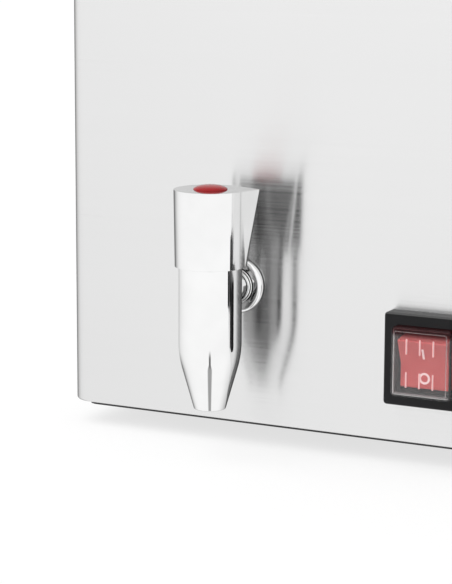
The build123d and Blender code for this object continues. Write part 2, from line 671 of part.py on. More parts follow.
def thermal_cutout():
    """Round bimetal cut-out pressed to the tank floor by its two ears."""
    plane = under_plane(0, CUTOUT_Y, TANK_UNDER_Z)
    ear_depth = TANK_UNDER_Z - CUTOUT_EAR_Z
    body = post(plane, CUTOUT_RADIUS, 0, CUTOUT_HEIGHT)
    ears = slab(plane, CUTOUT_SPREAD + 4 * M4_RADIUS, CUTOUT_RADIUS, CUTOUT_RADIUS / 3,
                ear_depth, ear_depth + CLAMP_SHEET)
    blades = [
        plane * Pos(side * CUTOUT_RADIUS / 2, 0, CUTOUT_HEIGHT)
        * Box(BLADE_SHEET, BLADE_WIDTH, BLADE_LENGTH, align=STANDING)
        for side in (-1, 1)
    ]
    holes = [
        post(plane, HOLE_RADIUS, ear_depth - CUT, ear_depth + CLAMP_SHEET + CUT).moved(Pos(x, 0, 0))
        for x, y in CUTOUT_STUD_PLACES
    ]
    return body + ears + blades - holes


def heat_shield():
    """Bent sheet that stands on the base plate and shades it from the element."""
    top_z = LOWER_Z + SHIELD_HEIGHT
    half = SHIELD_WIDTH / 2
    outline = Plane.XZ * Polyline(
        (-half - SHIELD_FOOT, LOWER_Z), (-half, LOWER_Z), (-half, top_z), (half, top_z), (half, LOWER_Z),
        (half + SHIELD_FOOT, LOWER_Z), (half + SHIELD_FOOT, LOWER_Z + SHIELD_SHEET),
        (half + SHIELD_SHEET, LOWER_Z + SHIELD_SHEET), (half + SHIELD_SHEET, top_z + SHIELD_SHEET),
        (-half - SHIELD_SHEET, top_z + SHIELD_SHEET), (-half - SHIELD_SHEET, LOWER_Z + SHIELD_SHEET),
        (-half - SHIELD_FOOT, LOWER_Z + SHIELD_SHEET), close=True,
    )
    sheet = extrude(make_face(outline), -SHIELD_LENGTH)
    return Pos(0, FRONT_Y + SHIELD_FROM_FRONT, 0) * sheet


# Drain pipe, hose and clips

BARB_END_Y = FRONT_Y + SHANK_LENGTH + BARB_LENGTH
ELBOW_END_Y = DRAIN_Y - DRAIN_BEND - DRAIN_LEG
HOSE_Y0 = BARB_END_Y - HOSE_GRIP
HOSE_Y1 = ELBOW_END_Y + HOSE_GRIP
HOSE_BORE = DRAIN_RADIUS + SEAT_CLEARANCE
HOSE_RADIUS = HOSE_BORE + HOSE_WALL


def drain_elbow():
    """Bent pipe welded under the tank's drain hole, turning towards the tap."""
    start = (TAP_X, DRAIN_Y, TANK_UNDER_Z)
    bend_top = (TAP_X, DRAIN_Y, TAIL_Z + DRAIN_BEND)
    inset = DRAIN_BEND * (1 - math.cos(math.radians(45)))
    bend_mid = (TAP_X, DRAIN_Y - inset, TAIL_Z + inset)
    bend_end = (TAP_X, DRAIN_Y - DRAIN_BEND, TAIL_Z)
    path = Line(start, bend_top) + ThreePointArc(bend_top, bend_mid, bend_end)
    path += Line(bend_end, (TAP_X, ELBOW_END_Y, TAIL_Z))
    section = Plane(origin=start, z_dir=(0, 0, -1))
    ring = section * (Circle(DRAIN_RADIUS) - Circle(DRAIN_BORE))
    return sweep(ring, path=path)


def drain_plane(y):
    """Plane across the drain line, its normal pointing into the machine."""
    return Plane(origin=(TAP_X, y, TAIL_Z), x_dir=(-1, 0, 0), z_dir=(0, 1, 0))


def drain_hose():
    """Short hose from the tap's tail to the elbow."""
    return tube(drain_plane(HOSE_Y0), HOSE_RADIUS, HOSE_BORE, 0, HOSE_Y1 - HOSE_Y0)


def hose_clips():
    """Two band clips, each with its screw block."""
    clips = []
    inner = HOSE_RADIUS + SEAT_CLEARANCE
    for y in (HOSE_Y0 + HOSE_GRIP / 2, HOSE_Y1 - HOSE_GRIP / 2):
        plane = drain_plane(y - CLIP_WIDTH / 2)
        block = slab(plane, CLIP_WIDTH, CLIP_WIDTH, CLIP_WALL, 0, CLIP_WIDTH)
        block = block.moved(Pos(0, 0, -inner - CLIP_WIDTH / 2))
        band = post(plane, inner + CLIP_WALL, 0, CLIP_WIDTH)
        clips.append(band + block - post(plane, inner, -CUT, CLIP_WIDTH + CUT))
    return clips


# Drain tap, built on its own upright axis at the height of its tail

TAP_AXIS = flat_plane(TAP_X, TAP_Y, TAIL_Z)
TAP_TAIL = Plane(origin=(TAP_X, TAP_Y, TAIL_Z), x_dir=(-1, 0, 0), z_dir=(0, 1, 0))
BODY_TOP = KNOB_GAP + KNOB_OVERLAP
CHAMBER_TOP = BODY_TOP - BONNET_SPIGOT
CHAMBER_RADIUS = PLUG_RADIUS + SEAT_CLEARANCE
SPIGOT_RADIUS = CHAMBER_RADIUS + BONNET_WALL
KNOB_TOP = KNOB_GAP + KNOB_HEIGHT
KNOB_HOLLOW_TOP = BODY_TOP + BONNET_HEX + KNOB_HEADROOM
KNOB_SCREW_RADIUS = M4_RADIUS
CAP_FLOOR = KNOB_TOP - CAP_SEAT
SCREW_SEAT = CAP_FLOOR - KNOB_SCREW_RADIUS * HEAD_HEIGHT_RATIO - ASSEMBLY_GAP
DRIVE_TOP = SCREW_SEAT - KNOB_WEB
PANEL_OUT = TAP_REACH
COLLAR_BACK = PANEL_OUT - WASHER_THICKNESS
COLLAR_STEP = COLLAR_THICKNESS / 3


def bullet():
    """Half profile of the tap's spout: tip, cone, blend arc and cylinder."""
    slope = math.radians(TIP_TAPER)
    blend_radius = TAP_BODY_RADIUS - SHOULDER_ARC * (1 - math.cos(slope))
    blend_z = -TIP_DROP + (blend_radius - TIP_RADIUS) / math.tan(slope)
    cylinder_z = blend_z + SHOULDER_ARC * math.sin(slope)
    half_slope = slope / 2
    middle = (
        TAP_BODY_RADIUS - SHOULDER_ARC * (1 - math.cos(half_slope)),
        0,
        cylinder_z - SHOULDER_ARC * math.sin(half_slope),
    )
    side = Line((TIP_RADIUS, 0, -TIP_DROP), (blend_radius, 0, blend_z))
    side += ThreePointArc((blend_radius, 0, blend_z), middle, (TAP_BODY_RADIUS, 0, cylinder_z))
    side += Polyline((TAP_BODY_RADIUS, 0, cylinder_z), (TAP_BODY_RADIUS, 0, BODY_TOP), (0, 0, BODY_TOP),
                     (0, 0, -TIP_DROP), (TIP_RADIUS, 0, -TIP_DROP))
    return make_face(side)


def tap_body():
    """Chromed spout, neck, shank and barb, with the plug chamber and water way."""
    spout = TAP_AXIS * revolve(bullet(), Axis.Z)
    spout = fillet(spout.edges().sort_by(Axis.Z)[0], TIP_ROUND)
    neck = post(TAP_TAIL, NECK_RADIUS, 0, COLLAR_BACK)
    shoulder_end = COLLAR_BACK - COLLAR_STEP
    neck += post(TAP_TAIL, NECK_SHOULDER_RADIUS, shoulder_end - NECK_SHOULDER_LENGTH, shoulder_end)
    neck += post(TAP_TAIL, SHANK_RADIUS, shoulder_end, PANEL_OUT + SHANK_LENGTH)
    neck += post(TAP_TAIL, DRAIN_RADIUS, PANEL_OUT, PANEL_OUT + SHANK_LENGTH + BARB_LENGTH)
    chamber = post(TAP_AXIS, CHAMBER_RADIUS, -PLUG_BELOW_TAIL - PLUG_FLOAT, BODY_TOP + CUT)
    socket = post(TAP_AXIS, SPIGOT_RADIUS + SEAT_CLEARANCE, CHAMBER_TOP, BODY_TOP + CUT)
    outlet = post(TAP_AXIS, TIP_BORE, -TIP_DROP - CUT, 0)
    inlet = post(TAP_TAIL, NECK_BORE, 0, PANEL_OUT + SHANK_LENGTH + BARB_LENGTH + CUT)
    return spout + neck - chamber - socket - outlet - inlet


def tap_collar():
    """Rounded rosette between the tap's shoulder and the panel, with a groove round the shoulder."""
    front = COLLAR_BACK - COLLAR_THICKNESS
    ring = post(TAP_TAIL, COLLAR_RADIUS, front, COLLAR_BACK)
    ring = fillet(ring.edges().sort_by(Axis.Y)[0], COLLAR_ROUND)
    recess = post(TAP_TAIL, NECK_SHOULDER_RADIUS + COLLAR_GROOVE, front - CUT, COLLAR_BACK - COLLAR_STEP)
    bore = post(TAP_TAIL, SHANK_RADIUS + SEAT_CLEARANCE, front - CUT, COLLAR_BACK + CUT)
    return ring - recess - bore


def tap_outer_washer():
    """Rubber washer between collar and panel."""
    radius = COLLAR_RADIUS - WASHER_MARGIN
    return tube(TAP_TAIL, radius, SHANK_RADIUS + SEAT_CLEARANCE, COLLAR_BACK, PANEL_OUT)


def tap_inner_washer():
    """Steel washer behind the panel."""
    low = PANEL_OUT + CASE_SHEET
    return tube(TAP_TAIL, LOCK_NUT_ACROSS / 2 + WASHER_MARGIN, SHANK_RADIUS + SEAT_CLEARANCE,
                low, low + WASHER_THICKNESS)


def tap_lock_nut():
    """Nut on the tap's shank behind the panel."""
    low = PANEL_OUT + CASE_SHEET + WASHER_THICKNESS
    nut = hexagon(TAP_TAIL, LOCK_NUT_ACROSS, low, low + LOCK_NUT_HEIGHT)
    return nut - post(TAP_TAIL, SHANK_RADIUS + SEAT_CLEARANCE, low - CUT, low + LOCK_NUT_HEIGHT + CUT)


def tap_bonnet_nut():
    """Nut that closes the chamber round the stem."""
    low = CHAMBER_TOP + PLUG_FLOAT
    spigot = post(TAP_AXIS, SPIGOT_RADIUS, low, BODY_TOP)
    nut = spigot + hexagon(TAP_AXIS, BONNET_ACROSS, BODY_TOP, BODY_TOP + BONNET_HEX)
    return nut - post(TAP_AXIS, STEM_RADIUS + SEAT_CLEARANCE, low - CUT, BODY_TOP + BONNET_HEX + CUT)


SEAL_RING_RADIUS = PLUG_RADIUS - SEAL_RADIUS
SEAL_LEVELS = (SEAL_PITCH / 2 + SEAL_RISE, -SEAL_PITCH / 2)


def tap_spindle():
    """Plug with a side port, turned by a stem with a square end."""
    plug_low = -PLUG_BELOW_TAIL
    plug = post(TAP_AXIS, PLUG_RADIUS, plug_low, CHAMBER_TOP)
    stem_top = KNOB_HOLLOW_TOP
    plug += post(TAP_AXIS, STEM_RADIUS, CHAMBER_TOP, stem_top)
    square_end = Box(STEM_SQUARE, STEM_SQUARE, DRIVE_TOP - stem_top, align=STANDING)
    plug += TAP_AXIS * Pos(0, 0, stem_top) * square_end
    water = post(TAP_AXIS, PLUG_BORE, plug_low - CUT, NECK_BORE + CUT)
    port_plane = Plane(origin=(TAP_X, TAP_Y, TAIL_Z), z_dir=(1, 0, 0))
    port = post(port_plane, NECK_BORE, 0, PLUG_RADIUS + CUT)
    tapped_radius = KNOB_SCREW_RADIUS + SEAT_CLEARANCE
    tapping = post(TAP_AXIS, tapped_radius, KNOB_HOLLOW_TOP - BONNET_HEX, DRIVE_TOP + CUT)
    depth = 2 * SEAL_RADIUS + SEAT_CLEARANCE
    half_groove = SEAL_RADIUS + SEAL_SIDE_GAP
    grooves = [
        tube(TAP_AXIS, PLUG_RADIUS + CUT, PLUG_RADIUS - depth, level - half_groove, level + half_groove)
        for level in SEAL_LEVELS
    ]
    return plug - water - port - tapping - grooves


def tap_stem_seals():
    """Rubber rings in the plug's grooves."""
    return [TAP_AXIS * Pos(0, 0, level) * Torus(SEAL_RING_RADIUS, SEAL_RADIUS) for level in SEAL_LEVELS]


def teardrop(radius, fin, crease):
    """Plan outline of the knob: a circle with a blunt fin along +X, whose flanks leave it at a crease."""
    reach = radius + fin - KNOB_FIN_EDGE
    crease_x = radius * math.cos(math.radians(crease))
    crease_y = radius * math.sin(math.radians(crease))
    apart = math.hypot(crease_x - reach, crease_y)
    bearing = math.atan2(crease_y, crease_x - reach) - math.acos(KNOB_FIN_EDGE / apart)
    fin_x = reach + KNOB_FIN_EDGE * math.cos(bearing)
    fin_y = KNOB_FIN_EDGE * math.sin(bearing)
    low, high = (crease_x, -crease_y), (crease_x, crease_y)
    fin_low, fin_high = (fin_x, -fin_y), (fin_x, fin_y)
    outline = ThreePointArc(high, (-radius, 0), low) + Line(low, fin_low)
    outline += ThreePointArc(fin_low, (reach + KNOB_FIN_EDGE, 0), fin_high)
    outline += Line(fin_high, high)
    return make_face(outline)


def tap_knob():
    """Hollow knob, round at its foot and drawn out to a fin at its top."""
    foot_face = Pos(0, 0, KNOB_GAP) * teardrop(KNOB_FOOT_RADIUS, KNOB_FIN_FOOT, KNOB_CREASE_FOOT)
    top_face = Pos(0, 0, KNOB_TOP) * teardrop(KNOB_TOP_RADIUS, KNOB_FIN_TOP, KNOB_CREASE_TOP)
    shell = Rot(0, 0, KNOB_FIN_ANGLE) * loft([foot_face, top_face], ruled=True)
    crown = shell.faces().sort_by(Axis.Z)[-1].edges()
    shell = TAP_AXIS * fillet(crown, KNOB_CROWN)
    hollow = post(TAP_AXIS, TAP_BODY_RADIUS + KNOB_RUNNING_GAP, KNOB_GAP - CUT, KNOB_HOLLOW_TOP)
    square = STEM_SQUARE + 2 * SEAT_CLEARANCE
    drive = Box(square, square, DRIVE_TOP - KNOB_HOLLOW_TOP + CUT, align=STANDING)
    drive = TAP_AXIS * Pos(0, 0, KNOB_HOLLOW_TOP - CUT) * drive
    screw_hole = post(TAP_AXIS, KNOB_SCREW_RADIUS + HOLE_CLEARANCE, KNOB_HOLLOW_TOP, SCREW_SEAT + CUT)
    head_hole = post(TAP_AXIS, KNOB_SCREW_RADIUS * HEAD_RATIO + ASSEMBLY_GAP, SCREW_SEAT, CAP_FLOOR + CUT)
    pocket = post(TAP_AXIS, CAP_RADIUS + SEAT_CLEARANCE, CAP_FLOOR, KNOB_TOP + CUT)
    return shell - hollow - drive - screw_hole - head_hole - pocket


def tap_knob_screw():
    """Screw that holds the knob on the stem, under the cap."""
    plane = flat_plane(TAP_X, TAP_Y, TAIL_Z + SCREW_SEAT)
    return pan_screw(plane, SCREW_SEAT - KNOB_HOLLOW_TOP, KNOB_SCREW_RADIUS)


def tap_cap():
    """Button cap in the top of the knob, an oval dome with a small flat in its middle."""
    dome = EllipticalCenterArc((0, KNOB_TOP), CAP_RADIUS, CAP_RISE, arc_size=CAP_DOME_ANGLE)
    top = (dome @ 1).Y
    skirt = Polyline(dome @ 1, (0, top), (0, CAP_FLOOR), (CAP_RADIUS, CAP_FLOOR), dome @ 0)
    return TAP_AXIS * revolve(Plane.XZ * make_face(dome + skirt), Axis.Z)


# Rocker switch: depths are measured out of the panel

FRAME_POCKET = FRAME_DEPTH - FRAME_LIP
HOUSING_FLANGE = FRAME_POCKET - BOOT_FLANGE
BOOT_FRONT = FRAME_DEPTH + BOOT_PROUD
TILT = ROCKER_TRAVEL / 2
PIVOT_OUT = ROCKER_FACE - ROCKER_OVER_PIVOT * math.cos(math.radians(TILT))
PIVOT_BEHIND = -PIVOT_OUT
ROCKER_END_UP = ROCKER_HALF * math.cos(math.radians(TILT))
ROCKER_END_RISE = ROCKER_HALF * math.sin(math.radians(TILT))
MOUTH_OUT = HOUSING_FLANGE - PIVOT_OUT
MOUTH_REACH = (
    ROCKER_END_UP * math.cos(math.radians(TILT))
    + (MOUTH_OUT + ROCKER_END_UP * math.sin(math.radians(TILT))) * math.tan(math.radians(TILT))
)
POCKET_WIDTH = ROCKER_WIDTH + 2 * ROCKER_GAP
POCKET_HEIGHT = 2 * (MOUTH_REACH + ROCKER_GAP)
HOUSING_WIDTH = POCKET_WIDTH + 2 * HOUSING_WALL
HOUSING_HEIGHT = POCKET_HEIGHT + 2 * HOUSING_WALL
SWITCH_FLANGE_WIDTH = FRAME_WIDTH - 2 * (FRAME_CHAMFER + BOOT_FLANGE_MARGIN)
SWITCH_FLANGE_HEIGHT = FRAME_HEIGHT - 2 * (FRAME_CHAMFER + BOOT_FLANGE_MARGIN)
SWITCH_PLANE = front_plane(0, SWITCH_Z)


def switch_frame():
    """Surround that clamps the boot, chamfered all round its front."""
    frame = slab(SWITCH_PLANE, FRAME_WIDTH, FRAME_HEIGHT, FRAME_CORNER, 0, FRAME_DEPTH)
    frame = chamfer(frame.faces().sort_by(Axis.Y)[0].edges(), FRAME_CHAMFER)
    recess = slab(SWITCH_PLANE, SWITCH_FLANGE_WIDTH + 2 * SEAT_CLEARANCE,
                  SWITCH_FLANGE_HEIGHT + 2 * SEAT_CLEARANCE, FRAME_CORNER, -CUT, FRAME_POCKET)
    opening = slab(SWITCH_PLANE, BOOT_WIDTH + 2 * SEAT_CLEARANCE, BOOT_HEIGHT + 2 * SEAT_CLEARANCE,
                   BOOT_EDGE, -CUT, FRAME_DEPTH + CUT)
    return frame - recess - opening


def switch_boot():
    """Clear soft cover over the rocker, with raised grip bars on its front."""
    box = slab(SWITCH_PLANE, BOOT_WIDTH, BOOT_HEIGHT, BOOT_EDGE, HOUSING_FLANGE, BOOT_FRONT)
    box = fillet(box.faces().sort_by(Axis.Y)[0].edges(), BOOT_EDGE)
    flange = slab(SWITCH_PLANE, SWITCH_FLANGE_WIDTH, SWITCH_FLANGE_HEIGHT, FRAME_CORNER,
                  HOUSING_FLANGE, FRAME_POCKET)
    inner_edge = BOOT_EDGE - BOOT_WALL / 2
    hollow = slab(SWITCH_PLANE, BOOT_WIDTH - 2 * BOOT_WALL, BOOT_HEIGHT - 2 * BOOT_WALL, inner_edge,
                  HOUSING_FLANGE - CUT, BOOT_FRONT - BOOT_WALL)
    bar = extrude(RectangleRounded(BAR_WIDTH, BAR_HEIGHT, BAR_ROUND), BAR_PROUD + BOOT_WALL / 2)
    bar_plane = front_plane(0, SWITCH_Z, BOOT_FRONT - BOOT_WALL / 2)
    bars = [bar_plane * place * bar for place in GridLocations(BAR_PITCH, BAR_ROW_PITCH, 3, 2)]
    return box + flange - hollow + bars


def switch_housing():
    """Moulded switch body with its flange on the panel and a pocket for the rocker."""
    flange = slab(SWITCH_PLANE, SWITCH_FLANGE_WIDTH, SWITCH_FLANGE_HEIGHT, FRAME_CORNER, 0, HOUSING_FLANGE)
    box = slab(SWITCH_PLANE, HOUSING_WIDTH, HOUSING_HEIGHT, ROCKER_END_ROUND, -HOUSING_DEPTH, HOUSING_FLANGE)
    pocket = slab(SWITCH_PLANE, POCKET_WIDTH, POCKET_HEIGHT, ROCKER_END_ROUND / 2,
                  2 * HOUSING_WALL - HOUSING_DEPTH, HOUSING_FLANGE + CUT)
    pin_plane = Plane(origin=(-HOUSING_WIDTH, FRONT_Y + PIVOT_BEHIND, SWITCH_Z), z_dir=(1, 0, 0))
    pin_hole = post(pin_plane, PIVOT_RADIUS, 0, 2 * HOUSING_WIDTH)
    return flange + box - pocket - pin_hole


def rocker_pivot_pin():
    """Pin across the housing that the rocker turns on."""
    pin_plane = Plane(origin=(-HOUSING_WIDTH / 2, FRONT_Y + PIVOT_BEHIND, SWITCH_Z), z_dir=(1, 0, 0))
    return post(pin_plane, PIVOT_RADIUS, 0, HOUSING_WIDTH)


def rocker():
    """V-faced rocker, tilted about its pin so that its lower half is pressed in."""
    end_out = ROCKER_OVER_PIVOT + ROCKER_END_RISE
    side_up = ROCKER_END_UP - ROCKER_END_ROUND / 2
    right = [(ROCKER_END_UP, end_out), (side_up, 0), (ROCKER_HUB, -2 * ROCKER_HUB)]
    left = [(-up, out) for up, out in reversed(right)]
    outline = [(0, ROCKER_OVER_PIVOT), *right, *left]
    points = [(0, -out, up) for up, out in outline]
    face = make_face(Polyline(*points, close=True))
    block = extrude(face, ROCKER_WIDTH / 2, both=True)
    tips = block.edges().filter_by(Axis.X).sort_by(Axis.Y)[:2]
    block = fillet(tips, ROCKER_END_ROUND)
    hole = Rot(0, 90, 0) * Cylinder(PIVOT_RADIUS + SEAT_CLEARANCE, 2 * ROCKER_WIDTH)
    return Pos(0, FRONT_Y + PIVOT_BEHIND, SWITCH_Z) * Rot(TILT, 0, 0) * (block - hole)


def switch_terminals():
    """Push-on blades at the back of the switch."""
    plane = front_plane(0, SWITCH_Z, -HOUSING_DEPTH)
    blade = Box(BLADE_WIDTH, BLADE_SHEET, BLADE_LENGTH, align=HANGING)
    return [plane * place * blade for place in GridLocations(BLADE_PITCH, BLADE_ROW_PITCH, 2, 2)]


# Pilot lamp

LAMP_PLANE = front_plane(LAMP_X, SWITCH_Z)


def lamp_lens():
    """Domed lens with a flat rim on the panel."""
    rim = post(LAMP_PLANE, LAMP_BEZEL_RADIUS, 0, LAMP_BEZEL)
    rim = fillet(rim.edges().sort_by(Axis.Y)[0], LAMP_BEZEL / 2)
    dome = post(LAMP_PLANE, LAMP_RADIUS, 0, LAMP_BEZEL + LAMP_DOME)
    return rim + fillet(dome.edges().sort_by(Axis.Y)[0], LAMP_ROUND)


def lamp_housing():
    """Lamp tube behind the panel with two contact blades."""
    body = post(LAMP_PLANE, LAMP_RADIUS, -LAMP_DEPTH, 0)
    blade = Box(BLADE_SHEET, LAMP_RADIUS, BLADE_LENGTH, align=HANGING)
    blades = [LAMP_PLANE * Pos(side * LAMP_RADIUS / 2, 0, -LAMP_DEPTH) * blade for side in (-1, 1)]
    return body + blades


def lamp_nut():
    """Nut that clamps the lamp to the panel."""
    low = -CASE_SHEET - LAMP_NUT_HEIGHT
    nut = hexagon(LAMP_PLANE, LAMP_NUT_ACROSS, low, -CASE_SHEET)
    return nut - post(LAMP_PLANE, LAMP_RADIUS + SEAT_CLEARANCE, low - CUT, 0)


# Thermostat with its dial, bulb and capillary

DIAL_PLANE = front_plane(DIAL_X, DIAL_Z)
DIAL_KNOB_BACK = DIAL_SHEET + DIAL_RUNNING_GAP
DIAL_SKIRT_OUT = DIAL_KNOB_BACK + DIAL_SKIRT


def shaft_profile(grow):
    """Round shaft section with a flat on its upper side."""
    disc = Circle(SHAFT_RADIUS + grow)
    flat = Pos(0, SHAFT_FLAT + grow + SHAFT_RADIUS) * Rectangle(4 * SHAFT_RADIUS, 2 * SHAFT_RADIUS)
    return disc - flat


def thermostat_dial_plate():
    """Round scale plate on the panel behind the knob."""
    plate = post(DIAL_PLANE, DIAL_RADIUS, 0, DIAL_SHEET)
    plate -= post(DIAL_PLANE, THERMOSTAT_BUSH + HOLE_CLEARANCE, -CUT, DIAL_SHEET + CUT)
    holes = [post(front_plane(x, z), HOLE_RADIUS, -CUT, DIAL_SHEET + CUT) for x, z in DIAL_SCREW_PLACES]
    return plate - holes


def thermostat_screws():
    """Screws through the dial plate into the thermostat."""
    return [pan_screw(front_plane(x, z, DIAL_SHEET), SCREW_GRIP) for x, z in DIAL_SCREW_PLACES]


def thermostat_knob():
    """Skirted knob with a raised grip across it, hollow behind."""
    skirt = Cone(DIAL_KNOB_RADIUS, DIAL_KNOB_RADIUS - DIAL_KNOB_WALL, DIAL_SKIRT, align=STANDING)
    grip_outline = Circle(DIAL_GRIP_RADIUS) & Rectangle(DIAL_GRIP_WIDTH, 4 * DIAL_GRIP_RADIUS)
    grip_foot = Pos(0, 0, DIAL_SKIRT / 2) * grip_outline
    grip = extrude(grip_foot, DIAL_SKIRT / 2 + DIAL_GRIP_HEIGHT, taper=DIAL_GRIP_DRAFT)
    crown = grip.faces().sort_by(Axis.Z)[-1].edges()
    grip = fillet(crown, DIAL_GRIP_ROUND)
    solid = DIAL_PLANE * Pos(0, 0, DIAL_KNOB_BACK) * (skirt + grip)
    hollow = tube(DIAL_PLANE, DIAL_HOLLOW_RADIUS, SHAFT_RADIUS + DIAL_HUB_WALL,
                  DIAL_KNOB_BACK - CUT, DIAL_SKIRT_OUT - DIAL_KNOB_WALL)
    bore = extrude(shaft_profile(SEAT_CLEARANCE), SHAFT_LENGTH + CUT)
    bore = DIAL_PLANE * Pos(0, 0, DIAL_KNOB_BACK - CUT) * bore
    return solid - hollow - bore


def thermostat_shaft():
    """Flatted shaft that the knob pushes on to."""
    stub = post(DIAL_PLANE, SHAFT_RADIUS, -SHAFT_IN_BODY, DIAL_KNOB_BACK)
    end = DIAL_PLANE * Pos(0, 0, DIAL_KNOB_BACK) * extrude(shaft_profile(0), SHAFT_LENGTH - ASSEMBLY_GAP)
    return stub + end


def thermostat_body():
    """Thermostat case behind the panel, with its bush, tapped holes and blades."""
    back = CASE_SHEET + THERMOSTAT_DEPTH
    case = slab(DIAL_PLANE, THERMOSTAT_WIDTH, THERMOSTAT_HEIGHT, CASE_SHEET * 3, -back, -CASE_SHEET)
    bush = post(DIAL_PLANE, THERMOSTAT_BUSH, -2 * CASE_SHEET, DIAL_SHEET)
    bore = post(DIAL_PLANE, SHAFT_RADIUS + SEAT_CLEARANCE, -SHAFT_IN_BODY - ASSEMBLY_GAP, DIAL_SHEET + CUT)
    tapped_radius = M4_RADIUS + SEAT_CLEARANCE
    tapped = [post(front_plane(x, z), tapped_radius, -SCREW_GRIP - CUT, 0) for x, z in DIAL_SCREW_PLACES]
    blade = Box(BLADE_WIDTH, BLADE_SHEET, BLADE_LENGTH, align=HANGING)
    blades = [DIAL_PLANE * Pos(0, side * THERMOSTAT_HEIGHT / 3, -back) * blade for side in (-1, 1)]
    return case + bush + blades - bore - tapped


CAPILLARY_Y0 = FRONT_Y + CASE_SHEET + THERMOSTAT_DEPTH


def capillary_tube():
    """Thin tube from the back of the thermostat to the bulb under the tank."""
    bend_y = ELEMENT_Y0 - ELEMENT_PITCH / 2
    inside_y = bend_y + 2 * ELEMENT_RADIUS
    points = [
        (DIAL_X, CAPILLARY_Y0, DIAL_Z),
        (DIAL_X, (CAPILLARY_Y0 + bend_y) / 2, DIAL_Z),
        (BULB_FROM_CENTRE, inside_y, DIAL_Z),
        (BULB_FROM_CENTRE, (inside_y + BULB_Y0) / 2, BULB_Z),
        (BULB_FROM_CENTRE, BULB_Y0, BULB_Z),
    ]
    path = FilletPolyline(*points, radius=CAPILLARY_BEND)
    section = Plane(origin=points[0], z_dir=(0, 1, 0)) * Circle(CAPILLARY_RADIUS)
    return sweep(section, path=path)


def sensor_bulb():
    """Closed bulb of the thermostat, along the tank floor."""
    plane = Plane(origin=(BULB_FROM_CENTRE, BULB_Y0, BULB_Z), z_dir=(0, 1, 0))
    bulb = post(plane, BULB_RADIUS, 0, BULB_LENGTH)
    return fillet(bulb.edges().sort_by(Axis.Y)[-1], BULB_ROUND)


CLIP_BULB_YS = [BULB_Y0 + share * BULB_LENGTH for share in CLIP_SHARES]
CLIP_STUD_X = BULB_FROM_CENTRE + BULB_RADIUS + CLAMP_SHEET + 3 * M4_RADIUS
CLIP_STUD_PLACES = [(CLIP_STUD_X, y) for y in CLIP_BULB_YS]


def bulb_clips():
    """Saddle clips that hold the bulb to the tank floor."""
    hug = BULB_RADIUS + SEAT_CLEARANCE
    length = CLIP_WIDTH + 2 * M4_RADIUS
    top = TANK_UNDER_Z - BULB_Z
    arch = tube(Plane.XZ, hug + CLAMP_SHEET, hug, -length / 2, length / 2)
    arch -= Pos(0, 0, top - CLAMP_SHEET) * Box(4 * hug, 2 * length, 4 * hug, align=STANDING)
    reach = CLIP_STUD_X - BULB_FROM_CENTRE
    tab = Box(reach + 2 * M4_RADIUS, length, CLAMP_SHEET, align=(Align.MIN, Align.CENTER, Align.MAX))
    tab = Pos(0, 0, top) * tab
    tab -= post(Plane.XZ, hug, -length, length)
    hole = Pos(reach, 0, top) * Cylinder(HOLE_RADIUS, 4 * CLAMP_SHEET)
    clip = arch + tab - hole
    return [Pos(BULB_FROM_CENTRE, y, BULB_Z) * clip for x, y in CLIP_STUD_PLACES]


# Terminal block, earth stud and cable gland at the rear

BLOCK_Y = REAR_Y - BLOCK_FROM_REAR
BLOCK_EAR = 2 * (HEAD_RADIUS + ASSEMBLY_GAP)
BLOCK_SCREW_OFFSET = BLOCK_WIDTH / 2 - BLOCK_EAR / 2
BLOCK_SCREW_PLACES = [(BLOCK_FROM_CENTRE + side * BLOCK_SCREW_OFFSET, BLOCK_Y) for side in (-1, 1)]
EARTH_PLACE = (EARTH_FROM_CENTRE, BLOCK_Y)


def terminal_block():
    """Ceramic block with a wire way and a screw well for each pole."""
    plane = flat_plane(BLOCK_FROM_CENTRE, BLOCK_Y, LOWER_Z)
    foot_height = BLOCK_HEIGHT / 4
    block = slab(plane, BLOCK_WIDTH, BLOCK_LENGTH, BLOCK_CORNER, 0, foot_height)
    tower_width = BLOCK_WIDTH - 2 * BLOCK_EAR
    block += slab(plane, tower_width, BLOCK_LENGTH, BLOCK_CORNER, 0, BLOCK_HEIGHT)
    pitch = tower_width / BLOCK_POLES
    wire = pitch / 4
    middle = (BLOCK_FROM_CENTRE, BLOCK_Y, LOWER_Z + BLOCK_HEIGHT / 2)
    way = Plane(origin=middle, x_dir=(1, 0, 0), z_dir=(0, -1, 0))
    for place in GridLocations(pitch, 1, BLOCK_POLES, 1):
        block -= way * place * Cylinder(wire, 2 * BLOCK_LENGTH)
        block -= plane * place * Pos(0, 0, BLOCK_HEIGHT / 2) * Cylinder(wire, BLOCK_HEIGHT, align=STANDING)
    for x, y in BLOCK_SCREW_PLACES:
        block -= post(flat_plane(x, y, LOWER_Z), HOLE_RADIUS, -CUT, foot_height + CUT)
    return block


def terminal_block_screws():
    """Screws that hold the block to the base plate."""
    level = LOWER_Z + BLOCK_HEIGHT / 4
    grip = BLOCK_HEIGHT / 4 + 2 * BASE_SHEET
    return [pan_screw(flat_plane(x, y, level), grip) for x, y in BLOCK_SCREW_PLACES]


def earth_stud():
    """Earth screw up through the base plate with its nut."""
    x, y = EARTH_PLACE
    screw = pan_screw(under_plane(x, y, LOWER_Z - BASE_SHEET), EARTH_HEIGHT)
    return [screw, hex_nut(flat_plane(x, y, LOWER_Z))]


GLAND_PLANE = rear_plane(GLAND_X, GLAND_Z, CASE_SHEET)


def gland_body():
    """Gland with a hexagon on the panel, a threaded tail and a stub for the cap."""
    body = hexagon(GLAND_PLANE, GLAND_HEX_ACROSS, 0, GLAND_HEX)
    body += post(GLAND_PLANE, GLAND_THREAD, -GLAND_TAIL, GLAND_HEX + GLAND_STUB)
    return body - post(GLAND_PLANE, GLAND_BORE, -GLAND_TAIL - CUT, GLAND_HEX + GLAND_STUB + CUT)


